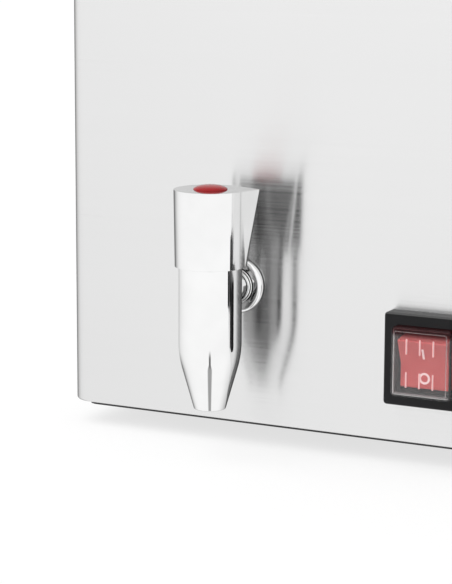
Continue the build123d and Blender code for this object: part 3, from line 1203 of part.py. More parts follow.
def gland_nut():
    """Lock nut of the gland inside the rear panel."""
    low = -CASE_SHEET - GLAND_NUT_HEIGHT
    nut = hexagon(GLAND_PLANE, GLAND_HEX_ACROSS, low, -CASE_SHEET)
    return nut - post(GLAND_PLANE, GLAND_THREAD + SEAT_CLEARANCE, low - CUT, 0)


def gland_cap():
    """Domed cap nut of the gland with the opening for the lead."""
    outer = GLAND_THREAD + GLAND_CAP_WALL
    cap = post(GLAND_PLANE, outer, GLAND_HEX, GLAND_HEX + GLAND_CAP)
    cap = fillet(cap.edges().sort_by(Axis.Y)[-1], GLAND_CAP_ROUND)
    socket = post(GLAND_PLANE, GLAND_THREAD + SEAT_CLEARANCE, GLAND_HEX - CUT, GLAND_HEX + GLAND_STUB)
    return cap - socket - post(GLAND_PLANE, GLAND_BORE, 0, GLAND_HEX + GLAND_CAP + CUT)


def main():
    """Build every piece and write it to its own file."""
    os.makedirs("parts", exist_ok=True)
    singles = (
        casing_wrap, rear_panel, base_plate, water_tank,
        drain_elbow, drain_hose, heating_element, heat_shield, thermal_cutout,
        tap_body, tap_collar, tap_outer_washer, tap_inner_washer, tap_lock_nut, tap_bonnet_nut,
        tap_spindle, tap_knob, tap_knob_screw, tap_cap,
        switch_frame, switch_boot, switch_housing, rocker, rocker_pivot_pin,
        lamp_lens, lamp_housing, lamp_nut,
        thermostat_dial_plate, thermostat_knob, thermostat_shaft, thermostat_body,
        capillary_tube, sensor_bulb, terminal_block, gland_body, gland_nut, gland_cap,
    )
    groups = (
        rear_panel_screws, base_screws, foot_screws, foot_nuts, rim_brackets, rim_nuts, weld_studs,
        element_terminals, element_clamps, element_nuts, hose_clips, tap_stem_seals, switch_terminals,
        thermostat_screws, bulb_clips, terminal_block_screws, earth_stud,
    )
    for piece in singles:
        save(piece.__name__, piece())
    for group in groups:
        save(group.__name__, *group())
    for name, place in zip(FOOT_NAMES, FOOT_PLACES):
        save(name, foot(*place))


main()
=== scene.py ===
import json
import logging
import math
from collections.abc import Callable, Iterator, Mapping, Sequence
from contextlib import contextmanager
from dataclasses import dataclass, field
from enum import Enum
from itertools import pairwise, product

import bpy
from mathutils import Matrix, Vector


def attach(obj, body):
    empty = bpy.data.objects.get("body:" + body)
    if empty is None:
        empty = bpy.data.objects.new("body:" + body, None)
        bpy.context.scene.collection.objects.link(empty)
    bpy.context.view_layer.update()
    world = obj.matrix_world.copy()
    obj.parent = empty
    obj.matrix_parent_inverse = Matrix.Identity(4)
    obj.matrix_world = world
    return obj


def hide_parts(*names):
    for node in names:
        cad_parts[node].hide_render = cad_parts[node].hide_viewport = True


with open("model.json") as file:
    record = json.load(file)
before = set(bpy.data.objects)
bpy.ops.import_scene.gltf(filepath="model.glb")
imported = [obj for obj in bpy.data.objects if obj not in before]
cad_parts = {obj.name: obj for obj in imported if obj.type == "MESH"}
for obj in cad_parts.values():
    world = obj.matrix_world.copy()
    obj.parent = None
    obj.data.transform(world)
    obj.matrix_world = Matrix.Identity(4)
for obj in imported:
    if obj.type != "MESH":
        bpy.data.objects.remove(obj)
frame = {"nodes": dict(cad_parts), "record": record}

LOG = logging.getLogger("bain_marie")
MM = 0.001
NEAR = 1e-6
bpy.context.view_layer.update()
FRONT_Y = -255.95
OVERRUN = 1.0
WHITE = (1.0, 1.0, 1.0)
ORIGIN = Vector((0, 0, 0))
X_AXIS = Vector((1, 0, 0))
Y_AXIS = Vector((0, 1, 0))
Z_AXIS = Vector((0, 0, 1))
NOISE_LIMITS = (0.3, 0.7)
UNIT = (0.0, 1.0)
FACING = 0.9
Colour = tuple[float, float, float]
Limits = tuple[float, float]
Piece = bpy.types.Object
Point = tuple[float, float, float]
Profile = list[tuple[float, float]]
Socket = bpy.types.NodeSocket


def metres(*millimetres: float) -> Vector:
    """Point or size in metres from millimetres."""
    return Vector(millimetres) * MM


class Body(Enum):
    """Bodies of the frame that a piece can ride on."""

    CASE = "body"
    TAP_HANDLE = "tap_handle"
    DIAL = "thermostat_dial"
    ROCKER = "rocker"


class Slot(Enum):
    """Material slots of the record."""

    SATIN_STEEL = "satin_steel"
    DARK_PAINT = "dark_paint"
    TANK_STEEL = "tank_steel"
    ZINC_SHEET = "zinc_sheet"
    FASTENER_STEEL = "fastener_steel"
    CHROME = "chrome"
    BRASS = "brass"
    BLACK_RUBBER = "black_rubber"
    SILICONE_HOSE = "silicone_hose"
    RED_CAP = "red_cap"
    BLACK_PLASTIC = "black_plastic"
    RED_ROCKER = "red_rocker"
    CLEAR_BOOT = "clear_boot"
    AMBER_LENS = "amber_lens"
    DIAL_ALUMINIUM = "dial_aluminium"
    ELEMENT_SHEATH = "element_sheath"
    COPPER = "copper"
    CERAMIC = "ceramic"


class Solid(Enum):
    """What a tool solid does to a piece."""

    JOINED = "UNION"
    CUT = "DIFFERENCE"


class Pick(Enum):
    """Elements of a mesh that a test can select."""

    EDGES = "EDGE"
    FACES = "FACE"


class Half(Enum):
    """Halves of the rocker, by the way that they tilt."""

    UPPER = 1
    LOWER = -1


# Modelling steps


class Bench:
    """Modelling steps done with Blender's own operators, as by hand.

    Places are in metres, widths in millimetres and angles in degrees.
    """

    LATHE_WELD = 0.002
    UNION_WELD = 0.004

    @staticmethod
    def clear() -> None:
        """Leave edit mode and deselect everything."""
        if bpy.context.mode != "OBJECT":
            bpy.ops.object.mode_set(mode="OBJECT")
        bpy.ops.object.select_all(action="DESELECT")

    @staticmethod
    def take(piece: Piece) -> None:
        """Select one piece alone and make it the active one.

        Args:
            piece: The piece to take.
        """
        Bench.clear()
        piece.select_set(True)
        bpy.context.view_layer.objects.active = piece

    @staticmethod
    @contextmanager
    def editing(piece: Piece) -> Iterator[None]:
        """Edit a piece with all of it selected, then go back to object mode.

        Args:
            piece: The piece to edit.

        Yields:
            Nothing, while the piece is in edit mode.
        """
        Bench.take(piece)
        bpy.ops.object.mode_set(mode="EDIT")
        bpy.ops.mesh.select_all(action="SELECT")
        yield
        bpy.ops.object.mode_set(mode="OBJECT")

    @staticmethod
    def face_out() -> None:
        """In edit mode, turn all faces outwards."""
        bpy.ops.mesh.select_all(action="SELECT")
        bpy.ops.mesh.normals_make_consistent(inside=False)

    @staticmethod
    def named(name: str) -> Piece:
        """Name the active piece and return it, its place applied to its mesh.

        Args:
            name: Name for the piece and its mesh.

        Returns:
            The named piece.
        """
        piece = bpy.context.object
        piece.name = name
        piece.data.name = name
        bpy.ops.object.transform_apply(location=True, rotation=True, scale=True)
        return piece

    @staticmethod
    def block(name: str, centre: Vector, size: Vector) -> Piece:
        """Add a block by its middle and its length along each axis.

        Args:
            name: Name of the piece.
            centre: Middle of the block.
            size: Its length along each axis.

        Returns:
            The new piece.
        """
        Bench.clear()
        bpy.ops.mesh.primitive_cube_add(size=1.0, location=centre, scale=size)
        return Bench.named(name)

    @staticmethod
    def plate(name: str, centre: Vector, size: Vector, corner: float, segments: int) -> Piece:
        """Add a block whose four corners, seen from the front, are rounded.

        Args:
            name: Name of the piece.
            centre: Middle of the block.
            size: Its length along each axis.
            corner: Width of its rounded corners.
            segments: Number of steps round a corner.

        Returns:
            The new piece.
        """
        piece = Bench.block(name, centre, size)
        Bench.bevel(piece, lambda a, b: abs(a.y - b.y) > size.y / 2, corner, segments)
        return piece

    @staticmethod
    def chain(name: str, points: Sequence[Vector]) -> Piece:
        """Draw a chain of vertices, one after another.

        Args:
            name: Name of the piece.
            points: Places of the vertices, in order.

        Returns:
            The new piece, with edges and no faces.
        """
        Bench.clear()
        bpy.ops.mesh.primitive_plane_add(size=MM, location=ORIGIN)
        piece = Bench.named(name)
        with Bench.editing(piece):
            bpy.ops.mesh.select_mode(type="VERT")
            bpy.ops.mesh.merge(type="CENTER")
            bpy.ops.transform.translate(value=points[0])
            for start, end in pairwise(points):
                bpy.ops.mesh.extrude_vertices_move(TRANSFORM_OT_translate={"value": end - start})
        return piece

    @staticmethod
    def prism(name: str, outline: Sequence[Vector], run: Vector) -> Piece:
        """Draw a flat outline, fill it and extrude it along a run.

        Args:
            name: Name of the piece.
            outline: Corners of the outline, in order.
            run: Way from the outline to the far end.

        Returns:
            The new piece, with its faces pointing outwards.
        """
        piece = Bench.chain(name, outline)
        with Bench.editing(piece):
            bpy.ops.mesh.edge_face_add()
            bpy.ops.mesh.extrude_region_move(TRANSFORM_OT_translate={"value": run})
            Bench.face_out()
        return piece

    @staticmethod
    def lathe(name: str, profile: Sequence[Vector], centre: Vector, axis: Vector, steps: int) -> Piece:
        """Draw a profile vertex by vertex and spin it round an axis.

        Args:
            name: Name of the piece.
            profile: Points of the profile; a closed one ends where it starts.
            centre: A point of the axis.
            axis: Direction of the axis.
            steps: Number of steps round the axis.

        Returns:
            The new piece, with its faces pointing outwards.
        """
        piece = Bench.chain(name, profile)
        with Bench.editing(piece):
            bpy.ops.mesh.spin(steps=steps, angle=math.tau, center=centre, axis=axis)
            bpy.ops.mesh.select_all(action="SELECT")
            bpy.ops.mesh.remove_doubles(threshold=Bench.LATHE_WELD * MM)
            Bench.face_out()
        return piece

    @staticmethod
    def pick(piece: Piece, kind: Pick, wanted: Callable[[Vector, Vector], bool]) -> None:
        """Select what satisfies a test, and stay in edit mode.

        Args:
            piece: The piece to work on.
            kind: Elements to select.
            wanted: Test of an edge's two ends, or of a face's centre and normal.
        """
        Bench.take(piece)
        bpy.ops.object.mode_set(mode="EDIT")
        bpy.ops.mesh.select_mode(type=kind.value)
        bpy.ops.mesh.select_all(action="DESELECT")
        bpy.ops.object.mode_set(mode="OBJECT")
        if kind is Pick.FACES:
            for face in piece.data.polygons:
                face.select = wanted(face.center, face.normal)
        else:
            points = piece.data.vertices
            for edge in piece.data.edges:
                edge.select = wanted(*(points[index].co for index in edge.vertices))
        bpy.ops.object.mode_set(mode="EDIT")

    @staticmethod
    def bevel(piece: Piece, wanted: Callable[[Vector, Vector], bool], width: float, segments: int) -> None:
        """Round some edges of a piece; a single segment gives a flat chamfer.

        Args:
            piece: The piece to work on.
            wanted: Test of an edge's two ends.
            width: Width of the bevel.
            segments: Number of steps across it.
        """
        Bench.pick(piece, Pick.EDGES, wanted)
        bpy.ops.mesh.bevel(offset=width * MM, segments=segments, affect="EDGES", clamp_overlap=True)
        bpy.ops.object.mode_set(mode="OBJECT")

    @staticmethod
    def bevel_front(piece: Piece, out: float, width: float, segments: int) -> None:
        """Round the edges of a front that stands out from the panel by a length in millimetres."""
        level = (FRONT_Y - out) * MM + NEAR
        Bench.bevel(piece, lambda a, b: max(a.y, b.y) < level, width, segments)

    @staticmethod
    def modify(piece: Piece, kind: str, **settings: object) -> None:
        """Add a modifier to a piece, set it up and apply it.

        Args:
            piece: The piece to work on.
            kind: Blender's name for the kind of modifier.
            settings: Values for its properties.
        """
        modifier = piece.modifiers.new(kind.lower(), kind)
        for name, value in settings.items():
            setattr(modifier, name, value)
        Bench.take(piece)
        bpy.ops.object.modifier_apply(modifier=modifier.name)

    @staticmethod
    def combine(piece: Piece, tool: Piece, way: Solid = Solid.CUT) -> None:
        """Cut a tool solid away from a piece, or join it, and remove the tool."""
        Bench.modify(piece, "BOOLEAN", object=tool, operation=way.value, solver="EXACT")
        bpy.data.objects.remove(tool, do_unlink=True)

    @staticmethod
    def tidy(piece: Piece, degrees: float) -> None:
        """Merge doubled vertices, dissolve flat edges and turn the faces outwards after joining solids.

        Args:
            piece: The piece to work on.
            degrees: Angle up to which an edge counts as flat.
        """
        with Bench.editing(piece):
            bpy.ops.mesh.remove_doubles(threshold=Bench.UNION_WELD * MM)
            bpy.ops.mesh.dissolve_limited(angle_limit=math.radians(degrees))
            bpy.ops.mesh.normals_make_consistent(inside=False)

    @staticmethod
    def smooth(piece: Piece, degrees: float, weighted: bool = True) -> Piece:
        """Shade a piece smooth up to an angle.

        Args:
            piece: The piece to work on.
            degrees: Angle up to which an edge is shaded smooth.
            weighted: Whether flat faces are kept flat beside rounded ones.

        Returns:
            The same piece.
        """
        Bench.take(piece)
        bpy.ops.object.shade_smooth_by_angle(angle=math.radians(degrees))
        if weighted:
            Bench.modify(piece, "WEIGHTED_NORMAL", keep_sharp=True)
        return piece

    @staticmethod
    def duplicate(piece: Piece, name: str, offset: Vector) -> Piece:
        """Copy a piece with its own mesh, moved by an offset.

        Args:
            piece: The piece to copy.
            name: Name of the copy.
            offset: Way from the piece to its copy.

        Returns:
            The copy.
        """
        Bench.take(piece)
        bpy.ops.object.duplicate(linked=False)
        bpy.ops.transform.translate(value=offset)
        return Bench.named(name)

    @staticmethod
    def join(name: str, pieces: Sequence[Piece]) -> Piece:
        """Join several pieces into one mesh.

        Args:
            name: Name of the piece.
            pieces: The pieces to join; the first takes up the others.

        Returns:
            The joined piece.
        """
        Bench.take(pieces[0])
        for piece in pieces[1:]:
            piece.select_set(True)
        bpy.ops.object.join()
        return Bench.named(name)


def rounded(corners: Sequence[Point], segments: int = 6) -> Profile:
    """Profile in a plane with some of its corners turned into arcs.

    Args:
        corners: Corner points, each with the radius of its arc; the ends stay sharp.
        segments: Number of steps along each arc.

    Returns:
        The points of the rounded profile.
    """
    points = [corners[0][:2]]
    for before, corner, after in zip(corners, corners[1:], corners[2:]):
        here, radius = Vector(corner[:2]), corner[2]
        if radius <= 0:
            points.append(tuple(here))
            continue
        back = (Vector(before[:2]) - here).normalized()
        ahead = (Vector(after[:2]) - here).normalized()
        half = back.angle(ahead) / 2
        centre = here + (back + ahead).normalized() * radius / math.sin(half)
        first = here + back * radius / math.tan(half) - centre
        last = here + ahead * radius / math.tan(half) - centre
        sweep = first.angle_signed(last)
        for step in range(segments + 1):
            turn = Matrix.Rotation(-sweep * step / segments, 2)
            points.append(tuple(centre + turn @ first))
    points.append(corners[-1][:2])
    return points


# Node trees


class Wiring:
    """A node tree with short ways to add and join its nodes."""

    def __init__(self, tree: bpy.types.NodeTree, shader: str, place: str) -> None:
        """Take up a tree with its shader and the coordinates that its signals are drawn in.

        Args:
            tree: The node tree.
            shader: Name of its shader.
            place: Name of the texture coordinates.
        """
        self.tree = tree
        self.shader = tree.nodes[shader]
        self.place = self.node("ShaderNodeTexCoord").outputs[place]

    def join(self, value: object, socket: Socket) -> None:
        """Link a signal to a socket, or set a plain value on it.

        Args:
            value: A signal or a plain value.
            socket: The socket that takes it.
        """
        if isinstance(value, Socket):
            self.tree.links.new(value, socket)
        elif socket.type == "RGBA":
            socket.default_value = (*value, 1.0)
        else:
            socket.default_value = value

    def join_named(self, owner: bpy.types.Node, values: Mapping[str, object]) -> None:
        """Give signals or plain values to a node's sockets, named with underscores for spaces.

        Args:
            owner: The node.
            values: Signals or plain values by socket.
        """
        for name, value in values.items():
            title = name.replace("_", " ").title().replace("Ior", "IOR")
            self.join(value, owner.inputs[title])

    def put(self, **values: object) -> None:
        """Give signals or plain values to the shader's own sockets."""
        self.join_named(self.shader, values)

    def node(self, kind: str, *terms: object, **inputs: object) -> bpy.types.Node:
        """Add a node and give signals or plain values to its sockets, in their order or by name.

        Args:
            kind: Blender's name for the kind of node.
            terms: Signals or plain values in the order of the sockets.
            inputs: Signals or plain values by socket.

        Returns:
            The new node.
        """
        made = self.tree.nodes.new(kind)
        for value, socket in zip(terms, made.inputs):
            self.join(value, socket)
        self.join_named(made, inputs)
        return made

    def reckon(self, operation: str, *terms: float | Socket) -> Socket:
        """Result of one step of arithmetic on signals and plain values.

        Args:
            operation: Blender's name for the step.
            terms: Signals and plain values, in order.

        Returns:
            The result.
        """
        made = self.node("ShaderNodeMath", *terms)
        made.operation = operation
        return made.outputs[0]

    def span(self, source: Socket, low: float, high: float, limits: Limits = NOISE_LIMITS) -> Socket:
        """Signal that goes from low to high as its source goes from one limit to the other."""
        return self.node("ShaderNodeMapRange", source, *limits, low, high).outputs[0]

    def blend(self, share: Socket, first: Colour | Socket, second: Colour) -> Socket:
        """Mix two colours by a signal.

        Args:
            share: Share of the second colour.
            first: Colour where the share is 0.
            second: Colour where the share is 1.

        Returns:
            The mixed colour.
        """
        mixed = self.tree.nodes.new("ShaderNodeMix")
        mixed.data_type = "RGBA"
        colours = [socket for socket in mixed.inputs if socket.type == "RGBA"]
        for value, socket in zip((share, first, second), (mixed.inputs[0], *colours)):
            self.join(value, socket)
        return next(socket for socket in mixed.outputs if socket.type == "RGBA")

    def parts(self, vector: Socket) -> Mapping[str, Socket]:
        """Parts of a vector along X, Y and Z."""
        return self.node("ShaderNodeSeparateXYZ", vector).outputs


class Sketch(Wiring):
    """Node tree of one material."""

    UPWARD = (0.6, 0.95)
    UPRIGHT = (-0.26, -0.1)
    LEFTWARD = (-0.3, -0.7)
    BEND = (0.01, 0.1)

    def __init__(self, name: str) -> None:
        """Start a material with one Principled shader.

        Args:
            name: Name of the material.
        """
        self.material = bpy.data.materials.new(name)
        self.material.use_nodes = True
        super().__init__(self.material.node_tree, "Principled BSDF", "Object")

    def noise(self, waves: float | Point, detail: float = 2.0, rough: float = 0.55) -> Socket:
        """Draw a noise in object space.

        Args:
            waves: Number of waves, or one number for each axis.
            detail: Number of finer layers.
            rough: Strength of the finer layers.

        Returns:
            The noise, from 0 to 1.
        """
        stretch = waves if isinstance(waves, tuple) else (waves,) * 3
        place = self.node("ShaderNodeMapping", vector=self.place, scale=stretch).outputs[0]
        noise = self.node("ShaderNodeTexNoise", vector=place, scale=1.0, detail=detail, roughness=rough)
        return noise.outputs[0]

    def bump(self, height: Socket, strength: float, depth: float) -> None:
        """Raise the surface by a signal, the depth in millimetres."""
        node = self.node("ShaderNodeBump", height=height, strength=strength, distance=depth * MM)
        self.put(normal=node.outputs[0])

    def normal(self) -> Mapping[str, Socket]:
        """Parts of a face's normal along X, Y and Z."""
        return self.parts(self.node("ShaderNodeNewGeometry").outputs["True Normal"])

    def facing(self, axis: str, limits: Limits) -> Socket:
        """Signal from 0 to 1 as a face's normal along an axis goes from one limit to the other."""
        return self.span(self.normal()[axis], 0.0, 1.0, limits)

    def flatness(self) -> Socket:
        """Find a sheet's straight walls, apart from the bends between them.

        Returns:
            Signal of 1 on the walls and 0 on a bend.
        """
        parts = self.normal()
        turned = self.reckon("ABSOLUTE", self.reckon("MULTIPLY", parts["X"], parts["Y"]))
        return self.span(turned, 1.0, 0.0, self.BEND)

    def shade_rim(
        self,
        edge: float,
        top: float,
        flat: float | None = None,
        left: float | None = None,
    ) -> None:
        """Paint shade into the metal's specular tint: darker where it turns out of sight, with set strengths
        on faces that look up, on straight walls and on upright faces that look to the machine's left.

        Args:
            edge: Strength left at the rim, from 0 to 1.
            top: Strength left on faces that look up.
            flat: Strength left on straight walls, if not that of the rim.
            left: Strength left on upright faces that look to the machine's left, if not that of the rim.
        """
        tone = (edge,) * 3
        if flat is not None:
            tone = self.blend(self.flatness(), tone, (flat,) * 3)
        if left is not None:
            share = self.reckon("MULTIPLY", self.facing("X", self.LEFTWARD), self.facing("Z", self.UPRIGHT))
            tone = self.blend(share, tone, (left,) * 3)
        # Painted shade: the specular tint follows the face's normal, set apart on faces that look up.
        self.put(specular_tint=self.blend(self.facing("Z", self.UPWARD), tone, (top,) * 3))


class Sky(Wiring):
    """Node tree of the surroundings, with signals of the direction that a ray goes in."""

    def along(self, direction: Vector) -> Socket:
        """Measure how far a ray goes along a direction.

        Args:
            direction: The direction, of length 1.

        Returns:
            The signal, from -1 to 1.
        """
        made = self.node("ShaderNodeVectorMath", self.place, direction)
        made.operation = "DOT_PRODUCT"
        return made.outputs["Value"]

    def ramp(self, source: Socket, limits: Limits) -> Socket:
        """Follow a signal smoothly between two of its values.

        Args:
            source: The signal to follow.
            limits: Its values at the ends of the ramp.

        Returns:
            The signal, from 0 to 1.
        """
        made = self.node("ShaderNodeMapRange", source, *limits)
        made.interpolation_type = "SMOOTHSTEP"
        return made.outputs[0]

    def product(self, *terms: float | Socket) -> Socket:
        """Multiply several signals.

        Args:
            terms: The signals.

        Returns:
            Their product.
        """
        result = terms[0]
        for term in terms[1:]:
            result = self.reckon("MULTIPLY", result, term)
        return result


# Finishes


@dataclass(frozen=True)
class Finish:
    """What all finishes have. Depths are in millimetres, and noise is in waves to the metre."""

    name: str
    tint: Colour
    roughness: float

    def toned(self, share: float) -> Colour:
        """The colour at a share of its strength, no lighter than white."""
        return tuple(min(1.0, part * share) for part in self.tint)

    def spread(
        self,
        sketch: Sketch,
        signal: Socket,
        less: float,
        more: float,
        limits: Limits = NOISE_LIMITS,
    ) -> Socket:
        """Roughness that varies with a signal between two shares of its mean."""
        return sketch.span(signal, self.roughness * less, self.roughness * more, limits)


@dataclass(frozen=True)
class BrushedSteel(Finish):
    """Sheet steel with fine lines brushed along one direction."""

    lines: Point
    contrast: float = 0.04
    anisotropy: float = 0.0
    relief: float = 0.05
    depth: float = 0.05
    # Painted shade in the specular tint: edge at the rims and bends, wall on straight walls and upward
    # faces.
    edge: float = 0.95
    wall: float = 0.95
    clouds: Point = (14.0, 14.0, 22.0)
    cloud_spread: float = 0.012
    # Painted shade: the colour darkens a little towards the machine's foot and sides, by these strengths and
    # limits.
    fade: float = 0.0
    fade_foot: float = 0.65
    fade_levels: Limits = (0.02, 0.2)
    fade_side: float = 0.35
    fade_sides: Limits = (0.05, 0.16)
    streaks: float = 0.0
    streak_run: float = 3.0
    streak_height: float = 5.0
    streak_spread: float = 0.04

    def faded(self, sketch: Sketch, colour: Socket) -> Socket:
        """Paint shade into the colour: a little darker towards the foot and the sides of the machine.

        Args:
            sketch: The material's node tree.
            colour: The even colour.

        Returns:
            The faded colour.
        """
        parts = sketch.parts(sketch.place)
        low = sketch.span(parts["Z"], self.fade_foot, 0.0, self.fade_levels)
        aside = sketch.span(sketch.reckon("ABSOLUTE", parts["X"]), 0.0, self.fade_side, self.fade_sides)
        return sketch.blend(sketch.reckon("ADD", low, aside), colour, self.toned(1 - self.fade))

    def material(self) -> bpy.types.Material:
        """Build the steel with its brushed lines, longer streaks and faint handling marks.

        Returns:
            The material.
        """
        sketch = Sketch(self.name)
        lines = sketch.noise(self.lines, detail=4.0, rough=0.7)
        dark, light = self.toned(1 - self.contrast), self.toned(1 + self.contrast / 2)
        colour = sketch.blend(sketch.span(lines, 0.0, 1.0), dark, light)
        # Painted shade towards the foot and the sides.
        if self.fade:
            colour = self.faded(sketch, colour)
        rough = self.spread(sketch, lines, less=0.85, more=1.15)
        height = lines
        if self.streaks:
            streaks = sketch.noise((self.streak_run, self.streak_run, self.streaks))
            uneven = sketch.span(streaks, -self.streak_spread, self.streak_spread)
            rough = sketch.reckon("ADD", rough, uneven)
            height = sketch.reckon("ADD", lines, sketch.reckon("MULTIPLY", streaks, self.streak_height))
        clouds = sketch.span(sketch.noise(self.clouds), -self.cloud_spread, self.cloud_spread)
        tangent = sketch.node("ShaderNodeTangent")
        tangent.direction_type = "RADIAL"
        tangent.axis = "Z"
        sketch.put(base_color=colour, roughness=sketch.reckon("ADD", rough, clouds), metallic=1.0)
        sketch.put(anisotropic=self.anisotropy, anisotropic_rotation=0.25, tangent=tangent.outputs[0])
        sketch.bump(height, self.relief, self.depth)
        # Painted shade in the specular tint at the rims and bends.
        sketch.shade_rim(self.edge, self.wall, self.wall)
        return sketch.material


@dataclass(frozen=True)
class Plating(Finish):
    """Polished or dull plated metal with faint wipe marks."""

    marks: float = 0.03
    relief: float = 0.02
    depth: float = 0.05
    # Painted shade in the specular tint: edge at the rims, top on faces that look up, left on upright faces
    # that look to the machine's left.
    edge: float = 1.0
    top: float = 0.87
    left: float | None = None
    wipes: Point = (420.0, 420.0, 90.0)
    clouds: float = 55.0
    dullest: float = 0.94

    def material(self) -> bpy.types.Material:
        """Build the plating with slow waves in its polish and finer wipe marks.

        Returns:
            The material.
        """
        sketch = Sketch(self.name)
        wipes = sketch.noise(self.wipes, detail=3.0)
        clouds = sketch.noise(self.clouds)
        sketch.put(
            base_color=sketch.blend(sketch.span(clouds, 0.0, 1.0), self.toned(self.dullest), self.tint),
            roughness=sketch.span(wipes, self.roughness, self.roughness + self.marks),
            metallic=1.0,
        )
        sketch.bump(clouds, self.relief, self.depth)
        # Painted shade in the specular tint at the rims, on upward faces and, where set, on left-looking
        # faces.
        sketch.shade_rim(self.edge, self.top, left=self.left)
        return sketch.material


@dataclass(frozen=True)
class Moulding(Finish):
    """Moulded plastic or rubber with a fine grain and a little shading in its colour."""

    shade: Colour
    grain: float = 900.0
    relief: float = 0.12
    depth: float = 0.04
    clouds: float = 60.0
    coat: float = 0.0
    subsurface: float = 0.0
    gloss: float = 0.5
    # Painted light: faces that look up are lifted towards this grey, between the limits that follow.
    dust: float = 0.0
    dusty: Limits = (0.3, 0.7)
    # Emission for painted light: it brightens marks and ribs that are no lamp.
    glow: float = 0.0

    def material(self) -> bpy.types.Material:
        """Build the moulding with its grain, slow colour change and painted light on its upper faces.

        Returns:
            The material.
        """
        sketch = Sketch(self.name)
        grain = sketch.noise(self.grain)
        colour = sketch.blend(sketch.span(sketch.noise(self.clouds), 0.0, 1.0), self.shade, self.tint)
        # Painted light on faces that look up.
        if self.dust:
            colour = sketch.blend(sketch.facing("Z", self.dusty), colour, (self.dust,) * 3)
        sketch.put(base_color=colour, roughness=self.spread(sketch, grain, less=0.85, more=1.2))
        sketch.put(coat_weight=self.coat, coat_roughness=0.08, subsurface_weight=self.subsurface)
        # The emission is painted light.
        sketch.put(specular_ior_level=self.gloss, emission_color=self.tint, emission_strength=self.glow)
        sketch.bump(grain, self.relief, self.depth)
        return sketch.material


@dataclass(frozen=True)
class ClearMoulding(Finish):
    """See-through plastic, a little hazy and tinted."""

    bend: float
    weight: float = 1.0
    # Painted shade and reflection: near the top the colour turns to this dark red, for the shaded rocker
    # seen in the thick top wall.
    top: Colour | None = None
    top_levels: Limits = UNIT
    haze: float = 160.0
    haziest: float = 0.96
    relief: float = 0.04
    depth: float = 0.05

    def material(self) -> bpy.types.Material:
        """Build the plastic with an uneven haze and, at its top, a painted dark red that stands in for the
        shaded rocker seen in its thick top wall.

        Returns:
            The material.
        """
        sketch = Sketch(self.name)
        haze = sketch.noise(self.haze)
        colour = sketch.blend(sketch.span(haze, 0.0, 1.0), self.toned(self.haziest), self.tint)
        # Painted shade and reflection: dark red blended in near the top, by height.
        if self.top:
            level = sketch.parts(sketch.place)["Z"]
            colour = sketch.blend(sketch.span(level, 0.0, 1.0, self.top_levels), colour, self.top)
        sketch.put(base_color=colour, roughness=self.spread(sketch, haze, less=0.8, more=1.3))
        sketch.put(transmission_weight=self.weight, ior=self.bend)
        sketch.bump(haze, self.relief, self.depth)
        return sketch.material


@dataclass(frozen=True)
class ZincSheet(Finish):
    """Zinc-coated sheet with its crystal spangle."""

    spangle: float = 110.0
    darkest: float = 0.82
    grain: float = 700.0
    grain_spread: float = 0.03
    relief: float = 0.06
    depth: float = 0.04

    def material(self) -> bpy.types.Material:
        """Build the sheet with spangle cells of differing brightness.

        Returns:
            The material.
        """
        sketch = Sketch(self.name)
        cells = sketch.node("ShaderNodeTexVoronoi", vector=sketch.place, scale=self.spangle, randomness=1.0)
        tones = sketch.node("ShaderNodeSeparateColor", cells.outputs["Color"]).outputs
        grain = sketch.noise(self.grain, detail=3.0)
        rough = self.spread(sketch, tones[1], less=0.85, more=1.2, limits=UNIT)
        fine = sketch.span(grain, -self.grain_spread, self.grain_spread)
        colour = sketch.blend(tones[0], self.toned(self.darkest), self.tint)
        sketch.put(base_color=colour, roughness=sketch.reckon("ADD", rough, fine), metallic=1.0)
        sketch.bump(grain, self.relief, self.depth)
        return sketch.material


